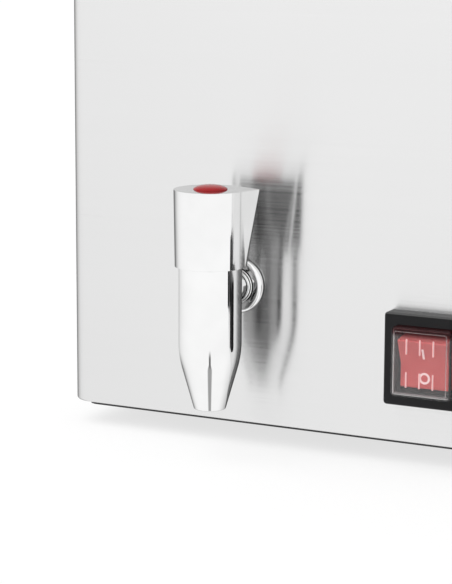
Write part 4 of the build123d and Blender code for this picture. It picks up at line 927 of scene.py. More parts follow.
FINISHES: dict[Slot, Finish] = {
    # Satin steel: painted shade at the casing's rounded corners and a little towards its foot and sides.
    Slot.SATIN_STEEL: BrushedSteel(
        "satin brushed steel", (0.853, 0.853, 0.853), 0.21, (2.0, 2.0, 3400.0),
        contrast=0.02, anisotropy=0.95, edge=0.3, fade=0.09, streaks=1500.0,
    ),
    Slot.TANK_STEEL: BrushedSteel(
        "fine brushed tank steel", (0.74, 0.74, 0.75), 0.27, (1800.0, 4.0, 60.0), contrast=0.05
    ),
    Slot.DIAL_ALUMINIUM: BrushedSteel(
        "satin anodised aluminium", (0.78, 0.78, 0.79), 0.36, (4.0, 4.0, 1500.0)
    ),
    Slot.ZINC_SHEET: ZincSheet("zinc-coated sheet", (0.62, 0.63, 0.64), 0.42),
    Slot.FASTENER_STEEL: Plating("bright fastener plating", (0.70, 0.70, 0.71), 0.22, marks=0.1),
    # Chrome: strong painted shade at its rims.
    Slot.CHROME: Plating("polished chrome plate", (0.95, 0.95, 0.95), 0.03, marks=0.02, edge=0.2),
    Slot.BRASS: Plating("turned brass", (0.72, 0.53, 0.24), 0.24, marks=0.1),
    Slot.ELEMENT_SHEATH: Plating("heat-tinted sheath", (0.24, 0.22, 0.20), 0.42, marks=0.12),
    Slot.COPPER: Plating("drawn copper", (0.78, 0.44, 0.28), 0.26, marks=0.1),
    # Dark paint on the base tray; its darkness is partly painted shade, for the shadow in the recess under
    # the casing.
    Slot.DARK_PAINT: Moulding("dark satin paint", (0.035, 0.035, 0.036), 0.5, (0.026, 0.026, 0.027)),
    Slot.BLACK_RUBBER: Moulding(
        "matt black rubber", (0.030, 0.030, 0.031), 0.68, (0.020, 0.020, 0.021), grain=700.0, relief=0.25
    ),
    Slot.SILICONE_HOSE: Moulding(
        "milky silicone", (0.78, 0.77, 0.72), 0.42, (0.70, 0.69, 0.64), subsurface=0.2
    ),
    Slot.RED_CAP: Moulding("gloss red cap", (0.42, 0.006, 0.010), 0.12, (0.35, 0.005, 0.008), gloss=0.3),
    # Black plastic with painted light on its upward faces.
    Slot.BLACK_PLASTIC: Moulding(
        "satin black plastic", (0.016, 0.016, 0.017), 0.5, (0.012, 0.012, 0.013), gloss=0.2, dust=0.09
    ),
    Slot.RED_ROCKER: Moulding(
        "red rocker plastic", (0.80, 0.11, 0.11), 0.3, (0.75, 0.09, 0.092), subsurface=0.15
    ),
    Slot.CERAMIC: Moulding("glazed ceramic", (0.82, 0.80, 0.75), 0.30, (0.76, 0.74, 0.68), coat=0.4),
    # The boot's top gets a painted dark red, for the shaded rocker seen in its thick top wall.
    Slot.CLEAR_BOOT: ClearMoulding(
        "clear soft vinyl", (0.97, 0.95, 0.95), 0.04, 1.22, 0.95,
        top=(0.30, 0.07, 0.08), top_levels=(0.0555, 0.0572),
    ),
    Slot.AMBER_LENS: ClearMoulding("amber lens", (0.95, 0.36, 0.03), 0.08, 1.49, 0.6),
}
# The spout's chrome: painted shade at its rims, mostly lifted on faces that look to the machine's left,
# which is painted light there.
SPOUT_CHROME = Plating("polished chrome spout", (0.95, 0.95, 0.95), 0.03, marks=0.02, edge=0.2, left=0.85)
# White ink, pale ink and grip ribs glow a little: painted light that brightens the prints, and a painted
# highlight on the milky ribs.
WHITE_INK = Moulding("white marking ink", (0.93, 0.92, 0.91), 0.45, (0.88, 0.87, 0.86), glow=0.25)
PALE_INK = Moulding("pale marking ink", (0.97, 0.72, 0.72), 0.45, (0.94, 0.68, 0.68), glow=0.3)
BLACK_INK = Moulding("black marking ink", (0.02, 0.02, 0.02), 0.45, (0.015, 0.015, 0.015))
MILKY_RIB_PAINTED_HIGHLIGHT = Moulding("milky grip rib", (0.97, 0.56, 0.56), 0.3, (0.92, 0.52, 0.52), glow=0.3)
MILKY_BEAD = ClearMoulding("milky boot bead", (0.93, 0.88, 0.88), 0.2, 1.22, 0.77)


class Wardrobe:
    """Makes each finish once and dresses the pieces with it."""

    def __init__(self) -> None:
        """Start with no material made."""
        self.made: dict[Finish, bpy.types.Material] = {}

    def clothe(self, piece: Piece, finish: Finish) -> None:
        """Give a piece the material of a finish, made when it is first asked for.

        Args:
            piece: The piece to dress.
            finish: Its finish.
        """
        if finish not in self.made:
            self.made[finish] = finish.material()
        piece.data.materials.clear()
        piece.data.materials.append(self.made[finish])

    def dress_nodes(self) -> None:
        """Give every CAD node the finish of its slot, and keep the lens out of mirror images."""
        for row in frame["record"]["subparts"]:
            self.clothe(frame["nodes"][row["node"]], FINISHES[Slot(row["material_slot"])])
            LOG.info("dressed %s as %s", row["node"], row["material_slot"])
        frame["nodes"]["lamp_lens"].visible_glossy = False

    def dress(self, piece: Piece, slot: Slot, body: Body, *nodes: str, finish: Finish | None = None) -> None:
        """Dress a new piece and let it ride on a body.

        Args:
            piece: The finished piece.
            slot: Slot of the record that it belongs to.
            body: Body that it moves with.
            nodes: CAD nodes that it stands for.
            finish: Another finish than the slot's own.
        """
        self.clothe(piece, finish or FINISHES[slot])
        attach(piece, body.value)
        if nodes:
            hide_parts(*nodes)
        LOG.info("built %s on %s", piece.name, body.value)


# Drain tap


@dataclass
class DrainTap:
    """Chromed drain tap: bullet-shaped spout, teardrop knob, red cap and rosette. Sizes in millimetres."""

    axis_x: float = -85.6
    axis_y: float = -282.05
    tail_z: float = 68.2
    reach: float = 26.1
    body_radius: float = 12.84
    body_top: float = 23.74
    tip_drop: float = 46.95
    tip_radius: float = 6.5
    tip_bore: float = 4.6
    tip_taper: float = 15.9
    tip_round: float = 0.5
    tip_bore_round: float = 0.35
    shoulder_arc: float = 40.0
    shoulder_steps: int = 24
    chamber_radius: float = 8.0
    chamber_floor: float = -10.2
    chamber_top: float = 15.74
    socket_radius: float = 9.05
    neck_radius: float = 6.2
    neck_bore: float = 3.6
    neck_root: float = 9.0
    neck_round: float = 0.5
    shoulder_radius: float = 7.4
    shoulder_length: float = 1.9
    shank_radius: float = 6.5
    shank_length: float = 13.0
    shank_round: float = 0.3
    barb_radius: float = 6.0
    barb_length: float = 13.0
    barb_round: float = 0.6
    collar_radius: float = 11.6
    collar_thickness: float = 2.4
    collar_round: float = 2.0
    collar_back_round: float = 0.1
    collar_groove: float = 0.5
    groove_round: float = 0.3
    washer: float = 0.6
    knob_low: float = 11.74
    knob_high: float = 42.89
    knob_foot_radius: float = 14.3
    knob_top_radius: float = 14.8
    knob_fin_foot: float = 0.45
    knob_fin_top: float = 5.0
    knob_fin_edge: float = 1.2
    knob_fin_root: float = 0.4
    knob_fin_steps: int = 12
    knob_fin_flat: float = 0.05
    knob_flat: float = 0.3
    knob_crease_foot: float = 14.0
    knob_crease_top: float = 32.0
    knob_fin_angle: float = 27.0
    knob_crown: float = 0.5
    knob_foot_round: float = 0.25
    knob_hollow_radius: float = 13.24
    knob_hollow_top: float = 29.74
    knob_hollow_round: float = 1.0
    cap_radius: float = 6.9
    cap_seat: float = 2.4
    cap_rise: float = 1.9
    cap_arc: float = 80.0
    cap_steps: int = 20
    fit: float = 0.05
    steps: int = 144

    @property
    def collar_back(self) -> float:
        """Depth of the collar's back, on its washer."""
        return self.reach - self.washer

    @property
    def collar_seat(self) -> float:
        """Depth of the step in the collar that the tap's shoulder rests on."""
        return self.collar_back - self.collar_thickness / 3

    def upright(self, radius: float, level: float) -> Vector:
        """Point of a profile on the tap's upright axis."""
        return metres(self.axis_x + radius, self.axis_y, self.tail_z + level)

    def along(self, radius: float, depth: float) -> Vector:
        """Point of a profile on the tail's axis, which runs into the machine."""
        return metres(self.axis_x + radius, self.axis_y + depth, self.tail_z)

    def turn_upright(self, name: str, profile: Profile) -> Piece:
        """Spin a profile of radius and level round the tap's upright axis."""
        points = [self.upright(*point) for point in profile]
        return Bench.lathe(name, points, self.upright(0, 0), Z_AXIS, self.steps)

    def turn_along(self, name: str, profile: Profile) -> Piece:
        """Spin a profile of radius and depth round the tail's axis."""
        points = [self.along(*point) for point in profile]
        return Bench.lathe(name, points, self.along(0, 0), Y_AXIS, self.steps)

    def spout_profile(self) -> Profile:
        """Closed profile of the spout: bore, tip, cone, long blend and cylinder.

        Returns:
            Points of radius and level.
        """
        slope = math.radians(self.tip_taper)
        blend_radius = self.body_radius - self.shoulder_arc * (1 - math.cos(slope))
        blend_level = -self.tip_drop + (blend_radius - self.tip_radius) / math.tan(slope)
        straight_level = blend_level + self.shoulder_arc * math.sin(slope)
        profile = rounded([
            (self.tip_bore, self.chamber_floor, 0.0),
            (self.tip_bore, -self.tip_drop, self.tip_bore_round),
            (self.tip_radius, -self.tip_drop, self.tip_round),
            (blend_radius, blend_level, 0.0),
        ])
        for step in range(1, self.shoulder_steps + 1):
            angle = slope * (1 - step / self.shoulder_steps)
            radius = self.body_radius - self.shoulder_arc * (1 - math.cos(angle))
            profile.append((radius, straight_level - self.shoulder_arc * math.sin(angle)))
        return profile + [
            (self.body_radius, self.body_top),
            (self.socket_radius, self.body_top),
            (self.socket_radius, self.chamber_top),
            (self.chamber_radius, self.chamber_top),
            (self.chamber_radius, self.chamber_floor),
            (self.tip_bore, self.chamber_floor),
        ]

    def build_body(self) -> Piece:
        """Spout, neck, shank and barb in one piece with its water way.

        Returns:
            The finished piece.
        """
        spout = self.turn_upright("tap_spout", self.spout_profile())
        seat = self.collar_seat
        shank_end = self.reach + self.shank_length
        barb_end = shank_end + self.barb_length
        neck = rounded([
            (0.0, self.neck_root, 0.0),
            (self.neck_radius, self.neck_root, 0.0),
            (self.neck_radius, seat - self.shoulder_length, self.neck_round),
            (self.shoulder_radius, seat - self.shoulder_length, self.neck_round),
            (self.shoulder_radius, seat, 0.0),
            (self.shank_radius, seat, 0.0),
            (self.shank_radius, shank_end, self.shank_round),
            (self.barb_radius, shank_end, 0.0),
            (self.barb_radius, barb_end, self.barb_round),
            (0.0, barb_end, 0.0),
        ])
        Bench.combine(spout, self.turn_along("tap_neck", neck), Solid.JOINED)
        way_end = barb_end + OVERRUN
        way = [(0.0, 0.0), (self.neck_bore, 0.0), (self.neck_bore, way_end), (0.0, way_end)]
        Bench.combine(spout, self.turn_along("tap_way", way))
        return Bench.smooth(spout, degrees=32.0, weighted=False)

    def build_collar(self) -> Piece:
        """Rounded rosette with a groove round the tap's shoulder.

        Returns:
            The finished piece.
        """
        front = self.collar_back - self.collar_thickness
        inner = self.shoulder_radius + self.collar_groove
        bore = self.shank_radius + self.fit
        profile = rounded([
            (bore, self.collar_seat, 0.0),
            (inner, self.collar_seat, 0.0),
            (inner, front, self.groove_round),
            (self.collar_radius, front, self.collar_round),
            (self.collar_radius, self.collar_back, self.collar_back_round),
            (bore, self.collar_back, 0.0),
            (bore, self.collar_seat, 0.0),
        ], segments=10)
        return Bench.smooth(self.turn_along("tap_rosette", profile), degrees=40.0, weighted=False)

    def knob_point(self, along: float, across: float, level: float) -> Vector:
        """Point of the knob, measured from its axis along the fin and across it."""
        turn = Matrix.Rotation(math.radians(self.knob_fin_angle), 3, "Z")
        return turn @ metres(along, across, 0.0) + self.upright(0.0, level)

    def fin_outline(self, radius: float, fin: float, crease: float, level: float) -> list[Vector]:
        """Points of the fin's plan: its two creases, a root in the round part and its blunt edge.

        Args:
            radius: Radius of the round part at this level.
            fin: Length of the fin beyond it.
            crease: Angle from the fin's edge to a crease, in degrees.
            level: Level above the tail.

        Returns:
            The points of the plan.
        """
        reach = radius + fin - self.knob_fin_edge
        crease_x = radius * math.cos(math.radians(crease))
        crease_y = radius * math.sin(math.radians(crease))
        apart = math.hypot(crease_x - reach, crease_y)
        bearing = math.atan2(crease_y, crease_x - reach) - math.acos(self.knob_fin_edge / apart)
        plan = [(crease_x, crease_y), (self.knob_fin_root * radius, 0.0), (crease_x, -crease_y)]
        for step in range(self.knob_fin_steps + 1):
            angle = bearing * (2 * step / self.knob_fin_steps - 1)
            along = reach + self.knob_fin_edge * math.cos(angle)
            plan.append((along, self.knob_fin_edge * math.sin(angle)))
        return [self.knob_point(along, across, level) for along, across in plan]

    def build_fin(self) -> Piece:
        """Wedge of the fin: a hull over its plan at the foot and at the top of the knob.

        Returns:
            The wedge, a solid to join to the knob.
        """
        ends = (
            (self.knob_foot_radius, self.knob_fin_foot, self.knob_crease_foot, self.knob_low),
            (self.knob_top_radius, self.knob_fin_top, self.knob_crease_top, self.knob_high),
        )
        fin = Bench.chain("knob_fin", [point for end in ends for point in self.fin_outline(*end)])
        with Bench.editing(fin):
            bpy.ops.mesh.convex_hull()
            bpy.ops.mesh.select_all(action="SELECT")
            bpy.ops.mesh.dissolve_limited(angle_limit=math.radians(self.knob_fin_flat))
        return fin

    def build_knob(self) -> Piece:
        """Round knob that grows a fin towards its top, hollow from below.

        Returns:
            The finished piece.
        """
        low, high = self.knob_low, self.knob_high
        cone = [(0.0, low), (self.knob_foot_radius, low), (self.knob_top_radius, high), (0.0, high)]
        knob = self.turn_upright("tap_teardrop_knob", cone)
        Bench.combine(knob, self.build_fin(), Solid.JOINED)
        Bench.tidy(knob, self.knob_flat)
        top = self.upright(0.0, high).z - NEAR
        foot = self.upright(0.0, low).z + NEAR
        Bench.bevel(knob, lambda a, b: min(a.z, b.z) > top, self.knob_crown, segments=4)
        Bench.bevel(knob, lambda a, b: max(a.z, b.z) < foot, self.knob_foot_round, segments=2)
        hollow = rounded([
            (0.0, low - OVERRUN, 0.0),
            (self.knob_hollow_radius, low - OVERRUN, 0.0),
            (self.knob_hollow_radius, self.knob_hollow_top, self.knob_hollow_round),
            (0.0, self.knob_hollow_top, 0.0),
        ])
        Bench.combine(knob, self.turn_upright("knob_hollow", hollow))
        seat = self.cap_radius + self.fit
        floor = high - self.cap_seat
        pocket = [(0.0, floor), (seat, floor), (seat, high + OVERRUN), (0.0, high + OVERRUN)]
        Bench.combine(knob, self.turn_upright("knob_pocket", pocket))
        return Bench.smooth(knob, degrees=25.0)

    def build_cap(self) -> Piece:
        """Red button cap, an oval dome.

        Returns:
            The finished piece.
        """
        floor = self.knob_high - self.cap_seat
        profile = [(0.0, floor), (self.cap_radius, floor)]
        for step in range(self.cap_steps + 1):
            turn = math.radians(self.cap_arc * step / self.cap_steps)
            level = self.knob_high + self.cap_rise * math.sin(turn)
            profile.append((self.cap_radius * math.cos(turn), level))
        profile.append((0.0, level))
        return Bench.smooth(self.turn_upright("tap_red_cap", profile), degrees=40.0, weighted=False)

    def build(self, wardrobe: Wardrobe) -> None:
        """Build and dress the tap.

        Args:
            wardrobe: Where the finishes come from.
        """
        wardrobe.dress(self.build_body(), Slot.CHROME, Body.CASE, "tap_body", finish=SPOUT_CHROME)
        wardrobe.dress(self.build_collar(), Slot.CHROME, Body.CASE, "tap_collar")
        wardrobe.dress(self.build_knob(), Slot.CHROME, Body.TAP_HANDLE, "tap_knob")
        wardrobe.dress(self.build_cap(), Slot.RED_CAP, Body.TAP_HANDLE, "tap_cap")


# Rocker switch


@dataclass
class RockerSwitch:
    """Black surround, clear boot with grip bars, and the red rocker with its marks. Sizes in millimetres."""

    centre_z: float = 45.4
    frame_width: float = 35.0
    frame_height: float = 37.6
    frame_depth: float = 7.0
    frame_chamfer: float = 0.7
    frame_corner: float = 1.4
    frame_pocket: float = 5.7
    frame_soft: float = 0.15
    flange_width: float = 31.2
    flange_height: float = 33.8
    boot_width: float = 25.4
    boot_height: float = 28.2
    boot_front: float = 12.0
    boot_wall: float = 0.8
    boot_edge: float = 1.6
    boot_foot: float = 4.9
    bead_inset: float = 1.5
    bead_width: float = 0.32
    bead_proud: float = 0.1
    bead_corner: float = 0.8
    bar_width: float = 0.6
    bar_height: float = 6.3
    bar_proud: float = 0.5
    bar_root: float = 0.1
    bar_corner: float = 0.25
    bar_round: float = 0.15
    bar_columns: tuple[float, ...] = (-5.65, 0.0, 5.65)
    bar_rows: tuple[float, ...] = (-6.7, 6.7)
    pivot_out: float = -1.16
    rocker_rise: float = 7.6
    rocker_tilt: float = 11.0
    rocker_half: float = 11.0
    rocker_short: float = 1.3
    rocker_width: float = 20.6
    rocker_hub: float = 2.75
    rocker_round: float = 0.8
    rocker_soft: float = 0.35
    rocker_front: float = 1.0
    rocker_near: float = 0.01
    pin_radius: float = 1.15
    mark_along: float = 5.3
    mark_height: float = 4.7
    mark_stroke: float = 0.9
    mark_film: float = 0.06
    mark_corner: float = 0.15
    fit: float = 0.05

    def place(self, x: float, out: float, up: float) -> Vector:
        """Point in front of the panel, from the switch's centre."""
        return metres(x, FRONT_Y - out, self.centre_z + up)

    def slab(self, name: str, width: float, height: float, depths: Limits, corner: float) -> Piece:
        """Block about the switch's centre, between two depths, with rounded corners.

        Args:
            name: Name of the piece.
            width: Length across.
            height: Length upwards.
            depths: How far its back and its front stand out from the panel.
            corner: Width of its rounded corners.

        Returns:
            The new piece.
        """
        low, high = depths
        size = metres(width, high - low, height)
        return Bench.plate(name, self.place(0, (low + high) / 2, 0), size, corner, segments=6)

    def build_frame(self) -> Piece:
        """Surround, chamfered all round its front, with a recess for the boot's flange and an opening.

        Returns:
            The finished piece.
        """
        depth, corner = self.frame_depth, self.frame_corner
        surround = self.slab("switch_surround", self.frame_width, self.frame_height, (0.0, depth), corner)
        Bench.bevel_front(surround, depth, self.frame_chamfer, segments=1)
        loose = 2 * self.fit
        for name, width, height, front, bend in (
            ("surround_recess", self.flange_width, self.flange_height, self.frame_pocket, corner),
            ("surround_opening", self.boot_width, self.boot_height, depth + OVERRUN, self.boot_edge),
        ):
            tool = self.slab(name, width + loose, height + loose, (-OVERRUN, front), bend)
            Bench.combine(surround, tool)
        Bench.modify(surround, "BEVEL", width=self.frame_soft * MM, segments=2, limit_method="ANGLE")
        return Bench.smooth(surround, degrees=25.0)

    def build_boot(self) -> Piece:
        """Clear cover: a rounded box, open behind, with a flange held by the surround.

        Returns:
            The finished piece.
        """
        depths = (self.boot_foot, self.boot_front)
        boot = self.slab("switch_clear_boot", self.boot_width, self.boot_height, depths, self.boot_edge)
        Bench.bevel_front(boot, self.boot_front, self.boot_edge, segments=5)
        rear = (FRONT_Y - self.boot_foot) * MM - NEAR
        Bench.pick(boot, Pick.FACES, lambda centre, normal: normal.y > FACING and centre.y > rear)
        bpy.ops.mesh.delete(type="ONLY_FACE")
        Bench.pick(boot, Pick.EDGES, lambda a, b: min(a.y, b.y) > rear)
        bpy.ops.mesh.extrude_region_move(TRANSFORM_OT_translate={"value": ORIGIN})
        growth = (self.flange_width / self.boot_width, 1, self.flange_height / self.boot_height)
        bpy.ops.transform.resize(value=growth, center_override=self.place(0, self.boot_foot, 0))
        Bench.face_out()
        Bench.modify(boot, "SOLIDIFY", thickness=self.boot_wall * MM, offset=-1.0, use_even_offset=True)
        return Bench.smooth(boot, degrees=40.0)

    def build_bead(self) -> Piece:
        """Fine bead moulded round the boot's front.

        Returns:
            The finished piece.
        """
        wide = self.boot_width - 2 * self.bead_inset
        tall = self.boot_height - 2 * self.bead_inset
        low, high = self.boot_front - self.bead_proud, self.boot_front + self.bead_proud
        bead = self.slab("switch_boot_bead", wide, tall, (low, high), self.bead_corner)
        both = 2 * self.bead_width
        depths = (low - OVERRUN, high + OVERRUN)
        corner = self.bead_corner - self.bead_width
        Bench.combine(bead, self.slab("bead_inside", wide - both, tall - both, depths, corner))
        return Bench.smooth(bead, degrees=40.0)

    def build_bars(self) -> Piece:
        """Raised grip bars on the boot's front.

        Returns:
            The finished piece.
        """
        low, high = self.boot_front - self.bar_root, self.boot_front + self.bar_proud
        size = metres(self.bar_width, high - low, self.bar_height)
        column, row = self.bar_columns[0], self.bar_rows[0]
        middle = self.place(column, (low + high) / 2, row)
        first = Bench.plate("grip_bar", middle, size, self.bar_corner, segments=5)
        Bench.bevel_front(first, high, self.bar_round, segments=3)
        bars = [Bench.smooth(first, degrees=40.0)]
        for up, across in product(self.bar_rows, self.bar_columns):
            offset = metres(across - column, 0, up - row)
            if offset.length > 0:
                bars.append(Bench.duplicate(first, "grip_bar", offset))
        return Bench.join("switch_grip_bars", bars)

    def rest(self) -> Matrix:
        """Turn and shift from upright at the origin to the rocker's place with its lower half pressed."""
        turn = Matrix.Rotation(math.radians(self.rocker_tilt), 4, "X")
        return Matrix.Translation(self.place(0, self.pivot_out, 0)) @ turn

    def rocker_end(self, length: float) -> Profile:
        """Outline one half of the rocker.

        Args:
            length: Length of its face from the middle to the tip.

        Returns:
            Points of height and depth, from the tip to the hub.
        """
        slope = math.radians(self.rocker_tilt)
        up = length * math.cos(slope)
        out = self.rocker_rise + length * math.sin(slope)
        return [(up, out), (up - self.rocker_round / 2, 0.0), (self.rocker_hub, -2 * self.rocker_hub)]

    def build_rocker(self) -> Piece:
        """V-faced rocker with softened edges and the bore for its pin.

        Returns:
            The finished piece.
        """
        lower = self.rocker_end(self.rocker_half - self.rocker_short)
        outline = [(0.0, self.rocker_rise), *self.rocker_end(self.rocker_half)]
        outline += [(-up, out) for up, out in reversed(lower)]
        side = self.rocker_width / 2
        points = [metres(-side, -out, up) for up, out in outline]
        rocker = Bench.prism("switch_red_rocker", points, metres(2 * side, 0, 0))
        tip = (self.rocker_near - lower[0][1]) * MM
        Bench.bevel(rocker, lambda a, b: max(a.y, b.y) < tip, self.rocker_round, segments=5)
        front = -self.rocker_front * MM

        def at_side(a: Vector, b: Vector) -> bool:
            """Whether an edge lies along a side of the rocker's face or of its ends."""
            return max(a.y, b.y) < front and abs(a.x - b.x) < NEAR

        Bench.bevel(rocker, at_side, self.rocker_soft, segments=3)
        end, radius = side + OVERRUN, self.pin_radius
        bore = [metres(x, 0, z) for x, z in ((-end, 0), (-end, radius), (end, radius), (end, 0))]
        Bench.combine(rocker, Bench.lathe("pin_bore", bore, ORIGIN, X_AXIS, steps=32))
        rocker.data.transform(self.rest())
        return Bench.smooth(rocker, degrees=30.0)

    def lay_mark(self, mark: Piece, half: Half) -> Piece:
        """Lay a mark, drawn on the upright plane through the pivot, on one half of the tilted rocker.

        Args:
            mark: The mark.
            half: Half that it lies on.

        Returns:
            The finished mark.
        """
        slope = math.radians(self.rocker_tilt)
        turn = Matrix.Rotation(half.value * slope, 4, "X")
        mark.data.transform(self.rest() @ Matrix.Translation(metres(0, -self.rocker_rise, 0)) @ turn)
        return Bench.smooth(mark, degrees=40.0)

    def build_line_mark(self) -> Piece:
        """Upright stroke on the upper half of the rocker.

        Returns:
            The finished mark.
        """
        size = metres(self.mark_stroke, 2 * self.mark_film, self.mark_height)
        middle = metres(0, 0, self.mark_along)
        mark = Bench.plate("rocker_mark_line", middle, size, self.mark_corner, segments=3)
        return self.lay_mark(mark, Half.UPPER)

    def build_ring_mark(self) -> Piece:
        """Ring on the lower half of the rocker.

        Returns:
            The finished mark.
        """
        outer = self.mark_height / 2
        inner = outer - self.mark_stroke
        film = self.mark_film
        profile = [(inner, film), (inner, -film), (outer, -film), (outer, film), (inner, film)]
        points = [metres(radius, depth, -self.mark_along) for radius, depth in profile]
        middle = metres(0, 0, -self.mark_along)
        mark = Bench.lathe("rocker_mark_ring", points, middle, Y_AXIS, steps=48)
        return self.lay_mark(mark, Half.LOWER)

    def build(self, wardrobe: Wardrobe) -> None:
        """Build and dress the switch; the clear boot lets the light through to the rocker.

        Args:
            wardrobe: Where the finishes come from.
        """
        surround = self.build_frame()
        boot = self.build_boot()
        bars = self.build_bars()
        bead = self.build_bead()
        rocker = self.build_rocker()
        marks = (self.build_line_mark(), self.build_ring_mark())
        wardrobe.dress(surround, Slot.BLACK_PLASTIC, Body.CASE, "switch_frame")
        wardrobe.dress(boot, Slot.CLEAR_BOOT, Body.CASE, "switch_boot")
        wardrobe.dress(bars, Slot.CLEAR_BOOT, Body.CASE, finish=MILKY_RIB_PAINTED_HIGHLIGHT)
        wardrobe.dress(bead, Slot.CLEAR_BOOT, Body.CASE, finish=MILKY_BEAD)
        wardrobe.dress(rocker, Slot.RED_ROCKER, Body.ROCKER, "rocker")
        for mark in marks:
            wardrobe.dress(mark, Slot.RED_ROCKER, Body.ROCKER, finish=PALE_INK)
        for piece in (boot, bars, bead):
            piece.visible_shadow = False
        for piece in (boot, bars, bead, rocker, *marks):
            piece.visible_glossy = False


# Thermostat


@dataclass
class DialMarks:
    """Numbers and ticks of the thermostat's scale, and the pointer of its knob. Sizes in millimetres."""

    centre_x: float = 98.0
    centre_z: float = 47.0
    plate_out: float = 0.8
    film: float = 0.05
    number_ring: float = 23.1
    number_height: float = 4.2
    tick_inner: float = 19.4
    tick_outer: float = 20.5
    tick_width: float = 0.4
    minor_share: float = 0.55
    travel: float = 300.0
    numbers: int = 7
    ticks_between: int = 5
    grip_out: float = 18.8
    pointer_width: float = 1.2
    pointer_low: float = 5.5
    pointer_high: float = 12.6
    pointer_round: float = 0.5

    def place(self, along: float, turn: float, out: float) -> Vector:
        """Point at a distance from the dial's centre, turned clockwise from the top.

        Args:
            along: Distance from the dial's centre.
            turn: Angle in degrees.
            out: How far the point stands out from the panel.

        Returns:
            The point, in metres.
        """
        angle = math.radians(turn)
        across, up = along * math.sin(angle), along * math.cos(angle)
        return metres(self.centre_x + across, FRONT_Y - out, self.centre_z + up)

    def build_number(self, number: int, turn: float) -> Piece:
        """One number of the scale, upright to the reader.

        Args:
            number: The number.
            turn: Its angle on the dial, in degrees.

        Returns:
            The number, as a mesh.
        """
        Bench.clear()
        place = self.place(self.number_ring, turn, self.plate_out)
        bpy.ops.object.text_add(rotation=(math.radians(90), 0, 0), location=place)
        letter = bpy.context.object.data
        letter.body = str(number)
        letter.size = self.number_height * MM
        letter.align_x = "CENTER"
        letter.align_y = "CENTER"
        letter.extrude = self.film * MM
        letter.resolution_u = 5
        bpy.ops.object.convert(target="MESH")
        return Bench.named(f"dial_number_{number}")

    def build_tick(self, turn: float, length: float) -> Piece:
        """One tick of the scale.

        Args:
            turn: Its angle on the dial, in degrees.
            length: Its length.

        Returns:
            The tick.
        """
        size = metres(self.tick_width, 2 * self.film, length)
        tick = Bench.block("dial_tick", self.place(self.tick_inner + length / 2, 0, self.plate_out), size)
        centre = self.place(0, 0, self.plate_out)
        spin = Matrix.Rotation(math.radians(turn), 4, "Y")
        tick.data.transform(Matrix.Translation(centre) @ spin @ Matrix.Translation(-centre))
        return tick

    def build_scale(self) -> Piece:
        """All numbers and ticks of the scale in one print.

        Returns:
            The finished piece.
        """
        prints = []
        steps = (self.numbers - 1) * self.ticks_between
        for step in range(steps + 1):
            turn = self.travel * step / steps
            number, rest = divmod(step, self.ticks_between)
            length = (self.tick_outer - self.tick_inner) * (self.minor_share if rest else 1.0)
            prints.append(self.build_tick(turn, length))
            if not rest:
                prints.append(self.build_number(number, turn))
        return Bench.join("dial_scale_print", prints)

    def build_pointer(self) -> Piece:
        """Line on the grip of the knob that points at the scale.

        Returns:
            The finished piece.
        """
        size = metres(self.pointer_width, 2 * self.film, self.pointer_high - self.pointer_low)
        middle = self.place((self.pointer_high + self.pointer_low) / 2, 0, self.grip_out)
        line = Bench.plate("dial_pointer_line", middle, size, self.pointer_round, segments=4)
        return Bench.smooth(line, degrees=40.0)

    def build(self, wardrobe: Wardrobe) -> None:
        """Build and dress the marks."""
        wardrobe.dress(self.build_scale(), Slot.DIAL_ALUMINIUM, Body.CASE, finish=BLACK_INK)
        wardrobe.dress(self.build_pointer(), Slot.BLACK_PLASTIC, Body.DIAL, finish=WHITE_INK)


# Screws


@dataclass
class PanScrews:
    """Pan-head screws with a cross recess, modelled once and copied. Sizes in millimetres."""

    shank: float = 2.0
    shank_round: float = 0.3
    head: float = 3.6
    head_height: float = 2.4
    head_round: float = 1.2
    recess_width: float = 0.9
    recess_span: float = 3.8
    recess_depth: float = 1.1
    recess_over: float = 0.5
    steps: int = 40

    def build_one(self, name: str, grip: float) -> Piece:
        """One screw standing on the origin, its head up and its shank below.

        Args:
            name: Name of the piece.
            grip: Length of the shank.

        Returns:
            The screw.
        """
        profile = rounded([
            (0.0, -grip, 0.0),
            (self.shank, -grip, self.shank_round),
            (self.shank, 0.0, 0.0),
            (self.head, 0.0, 0.0),
            (self.head, self.head_height, self.head_round),
            (0.0, self.head_height, 0.0),
        ])
        points = [metres(radius, 0, level) for radius, level in profile]
        screw = Bench.lathe(name, points, ORIGIN, Z_AXIS, self.steps)
        middle = metres(0, 0, self.head_height + (self.recess_over - self.recess_depth) / 2)
        for size in ((self.recess_span, self.recess_width), (self.recess_width, self.recess_span)):
            tool = metres(*size, self.recess_depth + self.recess_over)
            Bench.combine(screw, Bench.block("recess", middle, tool))
        return Bench.smooth(screw, degrees=35.0, weighted=False)

    def build_set(self, name: str, grip: float, places: Sequence[Matrix]) -> Piece:
        """A set of equal screws, each turned and moved to its place.

        Args:
            name: Name of the piece.
            grip: Length of the shanks.
            places: Turn and place of each screw.

        Returns:
            The finished piece.
        """
        pattern = self.build_one("screw", grip)
        screws = []
        for place in places:
            screw = Bench.duplicate(pattern, "screw", ORIGIN)
            screw.data.transform(place)
            screws.append(screw)
        bpy.data.objects.remove(pattern, do_unlink=True)
        return Bench.join(name, screws)


